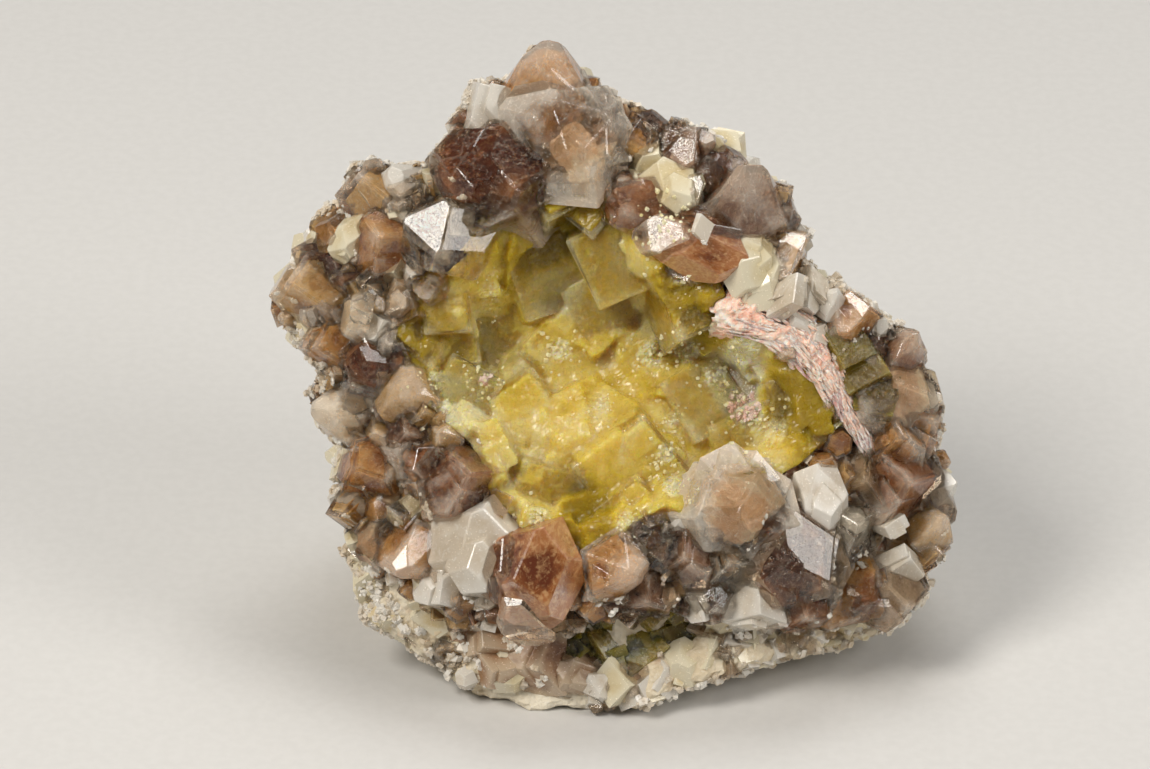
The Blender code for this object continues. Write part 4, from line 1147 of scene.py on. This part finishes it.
def calcite_crystals():
    """Every crystal of the tables, and the small ones between them."""
    draw = random.Random(11)
    solid, hearts, shells = ({name: [] for name in names} for names in (LOOKS, HEARTED, SHELLS))

    def add(look, form, heart, matrix, shade, small):
        if look == "clear" or look in HEARTED:
            group = {"clear": "clear_shells", "blush": "pale_shells"}.get(look, "warm_shells")
            shells["small_shells" if small else group].append(copied(form, matrix, shade))
        else:
            solid[look].append(copied(form, matrix, shade))
        if look in HEARTED:
            smaller = Matrix.Scale(draw.uniform(*HEART_SHARE), 4)
            hearts[look].append(copied(heart, matrix @ smaller, shade))

    for crystal in ALL_CRYSTALS:
        variant = draw.randrange(3)
        form, heart = HEROES[crystal.form][variant], SINGLE[GROWTH[crystal.form][0]][variant]
        matrix = lifted(form, crystal_matrix(form, crystal, crust_top))
        add(crystal.look, form, heart, matrix, draw.random(), False)
    for look, form, matrix in (*fill(draw), *foot(draw)):
        add(look, form, form, matrix, draw.random(), True)
    made = [
        piece(look + "_crystals", parts, zoned_calcite(look + "_calcite", *LOOKS[look]))
        for look, parts in solid.items() if parts
    ]
    for look, parts in hearts.items():
        piece(look + "_hearts", parts, phantom(look + "_heart", *LOOKS[look]))
    for name, parts in shells.items():
        tint, density, milk, milk_share = SHELLS[name]
        shell = glassy(name + "_calcite", (1.0, 0.96, 0.88), milk, (tint, density), milk_share)
        made.append(piece(name, parts, shell))
    return made + [ledge_tier(draw)]


def ledge_tier(draw):
    """The lower tier of brown crystals at the foot."""
    parts = []
    for crystal in LEDGE:
        form = draw.choice(HEROES[crystal.form])
        parts.append(copied(form, lifted(form, crystal_matrix(form, crystal, matrix_front)), draw.random()))
    finish = zoned_calcite("ledge_calcite", (0.14, 0.045, 0.022), (0.48, 0.27, 0.14), (0.82, 0.66, 0.47), 0.4)
    return piece("ledge_crystals", parts, finish, ["ledge_calcite"])


def nearest_look(u, v, draw):
    """The look of one of the large crystals close by."""
    near = sorted(ALL_CRYSTALS, key=lambda c: (c.u - u) ** 2 + (c.v - v) ** 2)[:4]
    return draw.choice(near).look


def small_crystal(u, v, size, kind, aim, lift, height, draw):
    """A small form and where it lies, or None where it would reach under the floor."""
    form = draw.choice(SMALL[kind])
    matrix = crystal_matrix(form, Crystal(u, v, size, kind, "", aim, lift, draw.uniform(0, 360)), height)
    return (form, matrix) if lowest(form, matrix) > 0.2 * MM else None


def fill(draw):
    """Small crystals that crowd the gaps between the large ones."""
    for _ in range(SMALL_CRYSTALS):
        angle = draw.uniform(0, 2 * pi)
        low, high = pocket_reach(angle), crust_reach(angle)
        share = draw.uniform(0.0, 1.06) ** 0.8
        u, v = ray_point(angle, low + (high - low) * share)
        lean = max(0.0, share - 0.35) * 1.3
        aim = (cos(angle) * lean + draw.uniform(-0.6, 0.6), sin(angle) * lean + draw.uniform(-0.6, 0.6))
        kind = draw.choice(("tooth", "blunt", "blunt", "flat", "rhomb", "blade"))
        look = nearest_look(u, v, draw)
        if share < 0.12 and draw.random() < 0.6:
            look = "clear"
        elif u < -20 and draw.random() < 0.45:
            look = draw.choice(("clear", "frost", "honey", "honey", "blush", "amber", "cream"))
        elif draw.random() < 0.2:
            look = draw.choice(("clear", "frost", "honey", "blush", "rust"))
        found = small_crystal(u, v, 1.6 + 3.6 * draw.random() ** 1.5, kind, aim, 0.15, crust_top, draw)
        if found:
            yield look, *found


def foot(draw):
    """Pale crystals on the matrix where it shows under the brown crust."""
    for _ in range(FOOT_CRYSTALS):
        angle = draw.uniform(-2.75, -0.45)
        low, high = crossing(CRUST_FOOT, angle), reach(angle)
        if low is None or low > high:
            continue
        u, v = ray_point(angle, low + (high - low) * draw.uniform(0.0, 1.0))
        if -4.5 < u < 15.5 and v > 6.5 or -18 < u < -4 and draw.random() < 0.7:
            continue
        looks = ("cream", "cream", "clear", "honey") if u < -14 else ("cream", "frost", "clear", "grey")
        look = draw.choice(looks)
        kind = draw.choice(("blunt", "flat", "rhomb", "lens"))
        aim = (cos(angle) * 0.5 + draw.uniform(-0.5, 0.5), -0.3 + draw.uniform(-0.5, 0.5))
        found = small_crystal(u, v, 2.4 + 4.6 * draw.random() ** 1.4, kind, aim, 0.05, matrix_front, draw)
        if found:
            yield look, *found


def cube_matrix(cube, height):
    seat = place(cube.u, cube.v, height(cube.u, cube.v) + cube.rise - 0.3 * cube.size)
    return laid(seat, aimed(cube.tip, cube.turn), [cube.size / 2] * 3)


def fluorite_patches():
    """The cubes of the two olive patches."""
    draw = random.Random(29)
    pieces = []
    olive = olive_fluorite("olive_fluorite", (0.26, 0.17, 0.012), (0.44, 0.33, 0.05), (0.72, 0.60, 0.26))
    patches = (
        ("lower_patch", LOWER_CUBES, matrix_front, (-5, 17, 6, 16), "lower_fluorite"),
        ("side_patch", SIDE_CUBES, crust_top, (31, 39, 42, 54), "side_fluorite"),
    )
    for name, large, height, (left, right, low, high), node in patches:
        made = [
            copied(draw.choice(HEROES["cube"]), cube_matrix(cube, height), draw.random()) for cube in large
        ]
        for _ in range(PATCH_CUBES):
            u, v = draw.uniform(left, right), draw.uniform(low, high)
            tip = (draw.uniform(-0.4, 0.4), draw.uniform(-0.2, 0.5))
            cube = Cube(u, v, draw.uniform(1.2, 3.4), draw.uniform(0.3, 1.2), draw.uniform(0, 90), tip)
            made.append(copied(draw.choice(SMALL["cube"]), cube_matrix(cube, height), draw.random()))
        pieces.append(piece(name, made, olive, [node]))
    return pieces


def strand(draw):
    """A satin fibre lying along the vein."""
    step = (len(VEIN) - 1.001) * (0.12 + 0.88 * draw.random() ** 0.6)
    first, second = VEIN[int(step)], VEIN[int(step) + 1]
    share = step - int(step)
    along = Vector((second[0] - first[0], second[1] - first[1])).normalized()
    across = Vector((-along.y, along.x))
    side = draw.uniform(-0.82, 0.82)
    half = first[2] + (second[2] - first[2]) * share
    u = first[0] + (second[0] - first[0]) * share + across.x * side * half
    v = first[1] + (second[1] - first[1]) * share + across.y * side * half
    high = crust_top(u, v) + 3.4 * (1 - 0.6 * side * side) - draw.uniform(0.3, 0.75)
    lean = draw.uniform(-0.14, 0.14)
    flat = ACROSS * (along.x + lean * across.x) + UP * (along.y + lean * across.y)
    axis = (flat + OUT * draw.uniform(-0.06, 0.05)).normalized()
    thin = draw.uniform(0.07, 0.2)
    size = (thin, thin * draw.uniform(0.7, 1.6), draw.uniform(0.9, 2.8))
    form = draw.choice(SMALL["needle"])
    shade = min(1.0, max(0.0, 0.5 - 0.4 * side + draw.uniform(-0.2, 0.2)))
    return copied(form, laid(place(u, v, high), turned(axis, draw.uniform(0, 360)), size), shade)


def vein():
    """The pink vein: a body of CAD's shape under its fibres."""
    draw = random.Random(31)
    strands = [strand(draw) for _ in range(STRANDS)]
    body = merged_copy("pink_calcite", "vein_body")
    remeshed(body, VEIN_CELL)
    displaced(body, "CLOUDS", 1.1, 1.3, 0.7)
    displaced(body, "VORONOI", 0.9, 0.5, 0.4)
    patterned(body, 3 * MM)
    piece("pink_vein", [body] + strands, fibrous_finish("pink_satin"), ["pink_calcite"])


# Coats of tiny crystals

# Where white druse fills the hollows between the crystals, as (u, v, radius).
DRUSE = (
    (-42, 53, 4), (-41, 48, 4), (-42, 42, 3), (-37, 38, 3), (-37.5, 31, 3), (-35, 25, 3), (-43, 66, 3),
    (-39, 72, 3), (-32, 78, 2.5), (-24, 80, 2.5), (-20, 87, 2.5), (-34, 20, 3), (-32, 15, 3),
    (-12, 12.5, 3), (-17, 17, 3), (-21, 28, 3), (-27, 33, 2), (20, 14.5, 3), (28, 18, 3), (35, 19, 3),
    (25, 77, 3), (30, 63, 3), (41, 55, 3), (48, 41, 2.5), (48, 31, 2.5), (33, 60, 2.5), (36, 30, 2.5),
    (5, 21, 2), (-26, 20, 3), (42, 28, 2.5),
)
# Pink beads in the pocket, as (u, v, radius, count).
PINK_SUGAR = ((19.5, 44.0, 2.6, 60), (-16.7, 47.6, 1.1, 12))
# A height above the face that no crystal reaches, and distances outside the outline.
CLEAR_OF_ALL = 25
PAST_RIM = 8
PAST_SIDE = 6
# No bead lies lower than this.
LOWEST_BEAD = 2.0


def scattered(node, count, draw, wanted):
    """Points spread over a CAD node's faces, as (point in millimetres, normal), where wanted agrees."""
    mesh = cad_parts[node].data
    faces = [(f.center / MM, f.normal.copy(), f.area, f.vertices[:]) for f in mesh.polygons]
    faces = [face for face in faces if wanted(face[0], face[1])]
    for face in draw.choices(faces, weights=[face[2] for face in faces], k=count):
        a, b = draw.random(), draw.random()
        if a + b > 1:
            a, b = 1 - a, 1 - b
        corners = [mesh.vertices[k].co / MM for k in face[3]]
        yield corners[0] + (corners[1] - corners[0]) * a + (corners[2] - corners[0]) * b, face[1]


def back_coat():
    """Pale crystals over the sides and the back."""
    draw = random.Random(47)
    pale = {look: [] for look in ("cream", "frost", "straw")}

    def behind(point, normal):
        return normal.dot(OUT) < 0.25 and point.z > 1.0 and normal.z > -0.9

    for point, normal in scattered("calcite_matrix", BACK_CRYSTALS, draw, behind):
        kind = draw.choice(("blunt", "rhomb", "flat", "tooth"))
        size = 0.8 + 2.2 * draw.random() ** 1.5
        turn = turned((normal + jitter(draw, 0.5)).normalized(), draw.uniform(0, 360))
        if point.z < size * 1.6:
            continue
        look = draw.choice(("cream", "cream", "frost", "straw"))
        matrix = laid(point - normal * 0.3, turn, [size] * 3)
        pale[look].append(copied(draw.choice(SMALL[kind]), matrix, draw.random()))
    for look, parts in pale.items():
        piece(look + "_back_crystals", parts, zoned_calcite(look + "_back", *LOOKS[look]))


def first_hit(trees, start, along):
    """Where a ray first meets the pieces, as (point, normal), both in millimetres, or None."""
    hits = [tree.ray_cast(start * MM, along) for tree in trees]
    hits = [hit for hit in hits if hit[0]]
    if not hits:
        return None
    point, normal = min(hits, key=lambda hit: hit[3])[:2]
    return point / MM, normal


def front_hit(trees, u, v):
    """Where a ray down onto the face at (u, v) first meets the pieces."""
    return first_hit(trees, place(u, v, CLEAR_OF_ALL), -OUT)


def outward(angle):
    return ACROSS * cos(angle) + UP * sin(angle)


def patch_point(draw, u, v, radius, squash=1.0):
    """A point of a round patch of the face, squashed from top to bottom."""
    far, angle = radius * sqrt(draw.random()), draw.uniform(0, 2 * pi)
    return u + far * cos(angle), v + squash * far * sin(angle)


def bead(point, normal, size, draw):
    turn = turned((normal + jitter(draw, 0.3)).normalized(), draw.uniform(0, 360))
    return copied(draw.choice(CLUMPS), laid(point, turn, [size] * 3), draw.random())


def edge_beads(trees, draw):
    """Beads on what stands out farthest, all along the outline but fewer at its top right and its foot."""
    for _ in range(EDGE_BEADS):
        angle = draw.uniform(-pi, pi)
        if 0.80 < angle < 1.72 and draw.random() < 0.75 or -2.3 < angle < -0.7 and draw.random() < 0.8:
            continue
        u, v = ray_point(angle, reach(angle) + PAST_RIM)
        edge = carrier(*ray_point(angle, reach(angle)))
        hits = [first_hit(trees, place(u, v, edge + level), -outward(angle)) for level in range(-9, 5, 2)]
        hits = [hit for hit in hits if hit]
        if not hits:
            continue
        point, normal = max(hits, key=lambda hit: hit[0].dot(outward(angle)))
        if point.z < LOWEST_BEAD or noise.noise(point * 0.12) < -0.25:
            continue
        yield bead(point + OUT * draw.uniform(-1.4, 1.0), normal, draw.uniform(0.45, 1.0), draw)


def side_beads(trees, draw):
    """Beads on the sides, behind the outline."""
    for _ in range(SIDE_BEADS):
        angle = draw.uniform(-pi, pi)
        u, v = ray_point(angle, reach(angle) + PAST_SIDE)
        edge = carrier(*ray_point(angle, reach(angle)))
        hit = first_hit(trees, place(u, v, edge - draw.uniform(-1.0, 12.0)), -outward(angle))
        if hit and hit[0].z > LOWEST_BEAD and noise.noise(hit[0] * 0.16) > -0.18:
            yield bead(*hit, draw.uniform(0.5, 1.1), draw)


def hollow_beads(trees, draw):
    """Smaller beads on the sides of the front's crystals that look away from the viewer and down."""
    for _ in range(HOLLOW_BEADS):
        angle = draw.uniform(-pi, pi)
        low = pocket_reach(angle)
        hit = front_hit(trees, *ray_point(angle, low + (reach(angle) - low) * draw.random() ** 0.6))
        if not hit or hit[0].z < LOWEST_BEAD or hit[1].dot(OUT) > 0.5 or hit[1].dot(UP) > 0.2:
            continue
        if noise.noise(hit[0] * 0.2) > 0.0:
            yield bead(*hit, draw.uniform(0.25, 0.6), draw)


def druse_beads(trees, draw):
    """Beads that fill hollows between the crystals."""
    for middle_u, middle_v, radius in DRUSE:
        for _ in range(int(16 * radius)):
            u, v = patch_point(draw, middle_u, middle_v, radius)
            hit = front_hit(trees, u, v)
            if hit and hit[0].z > 1.5 and (hit[0] - FACE_ORIGIN).dot(OUT) < crust_top(u, v) + 1.6:
                yield bead(*hit, draw.uniform(0.35, 0.8), draw)


def sugar_grains(trees, draw):
    """Single tiny crystals on and round the sugary patches of the pocket."""
    for _ in range(SUGAR_GRAINS):
        u, v, radius, strength = draw.choice(SUGAR)
        far, angle = radius * 1.5 * draw.random(), draw.uniform(0, 2 * pi)
        hit = front_hit(trees, u + far * cos(angle), v + far * sin(angle))
        if hit:
            shape = draw.choice(SMALL["rhomb"])
            turn = turned((hit[1] + Vector((0, 0, 0.4))).normalized(), draw.uniform(0, 360))
            size = draw.uniform(0.10, 0.34) * strength
            yield copied(shape, laid(hit[0], turn, [size] * 3), draw.random())


def pink_grains(trees, draw):
    for u, v, radius, count in PINK_SUGAR:
        for _ in range(count):
            hit = front_hit(trees, *patch_point(draw, u, v, radius, 0.7))
            if hit:
                yield bead(hit[0] - hit[1] * 0.15, hit[1], draw.uniform(0.2, 0.5), draw)


def coats(grounds):
    """White beads on the crystals, and sugar in the pocket."""
    draw = random.Random(53)
    graph = bpy.context.evaluated_depsgraph_get()
    trees = [BVHTree.FromObject(obj, graph) for obj in grounds]
    kinds = (edge_beads, side_beads, hollow_beads, druse_beads)
    beads = [part for kind in kinds for part in kind(trees, draw)]
    sugar, pink = list(sugar_grains(trees, draw)), list(pink_grains(trees, draw))
    piece("rim_beads", beads, druse("white_druse", (0.90, 0.86, 0.78), (0.70, 0.57, 0.40)))
    piece("pocket_sugar", sugar, druse("sugar", (0.95, 0.90, 0.62), (0.90, 0.78, 0.36)))
    piece("pink_sugar", pink, druse("pink_sugar", (0.90, 0.72, 0.62), (0.84, 0.48, 0.36)))


# Floor, light and camera


# Each light as its name, place and size in metres, power in watts, and colour.
LIGHTS = (
    ("key", (-0.55, -0.45, 0.85), 0.42, 9.0, (1.0, 0.96, 0.90)),
    ("fill", (0.75, -0.35, 0.55), 0.42, 4.0, (1.0, 0.97, 0.93)),
    ("top", (0.05, 0.35, 0.95), 0.5, 4.0, (1.0, 0.99, 0.97)),
)
CAMERA_DISTANCE = 0.906


def studio():
    """A plain pale floor, a dim sky and three soft lights."""
    floor = added(bpy.ops.mesh.primitive_plane_add, size=8)
    floor.name = "studio_floor"
    paper = Finish("studio_paper")
    grain = paper.noise(paper.spot(), 600.0, 3.0)
    tone = paper.blend(paper.smooth(grain, 0.3, 0.7), (0.60, 0.59, 0.57), (0.62, 0.61, 0.59))
    floor.data.materials.append(paper.done(paper.surface(tone, 0.75, paper.bump(grain, 0.05, 0.1))))
    world = bpy.data.worlds.new("studio")
    world.use_nodes = True
    sky = world.node_tree.nodes["Background"].inputs
    sky["Color"].default_value = (1.0, 0.98, 0.95, 1)
    sky["Strength"].default_value = 0.14
    bpy.context.scene.world = world
    for name, spot, size, power, colour in LIGHTS:
        data = bpy.data.lights.new(name, "AREA")
        data.shape, data.size, data.energy, data.color = "SQUARE", size, power, colour
        light = bpy.data.objects.new(name, data)
        light.location = spot
        light.rotation_mode = "QUATERNION"
        light.rotation_quaternion = (Vector(spot) - Vector((0, 0, 0.04))).to_track_quat("Z", "Y")
        bpy.context.scene.collection.objects.link(light)
    bpy.context.scene.view_settings.view_transform = "Standard"


def camera():
    """A long lens at the photograph's angle, thirty degrees above the floor."""
    towards = Vector((0, -cos(radians(30)), sin(radians(30))))
    aim = place(-4.25, 47.1, -8) * MM
    data = bpy.data.cameras.new("camera")
    data.lens, data.sensor_width, data.clip_end = 200, 36, 10
    eye = bpy.data.objects.new("camera", data)
    eye.location = aim + towards * CAMERA_DISTANCE
    eye.rotation_mode = "QUATERNION"
    eye.rotation_quaternion = towards.to_track_quat("Z", "Y")
    bpy.context.scene.collection.objects.link(eye)
    bpy.context.scene.camera = eye


make_forms()
grounds = ground()
grounds += calcite_crystals()
grounds += pocket()
grounds += fluorite_patches()
vein()
back_coat()
coats(grounds)
for forms in (*SINGLE.values(), *HEROES.values(), *SMALL.values(), CLUMPS):
    for form in forms:
        bpy.data.objects.remove(form)
studio()
camera()
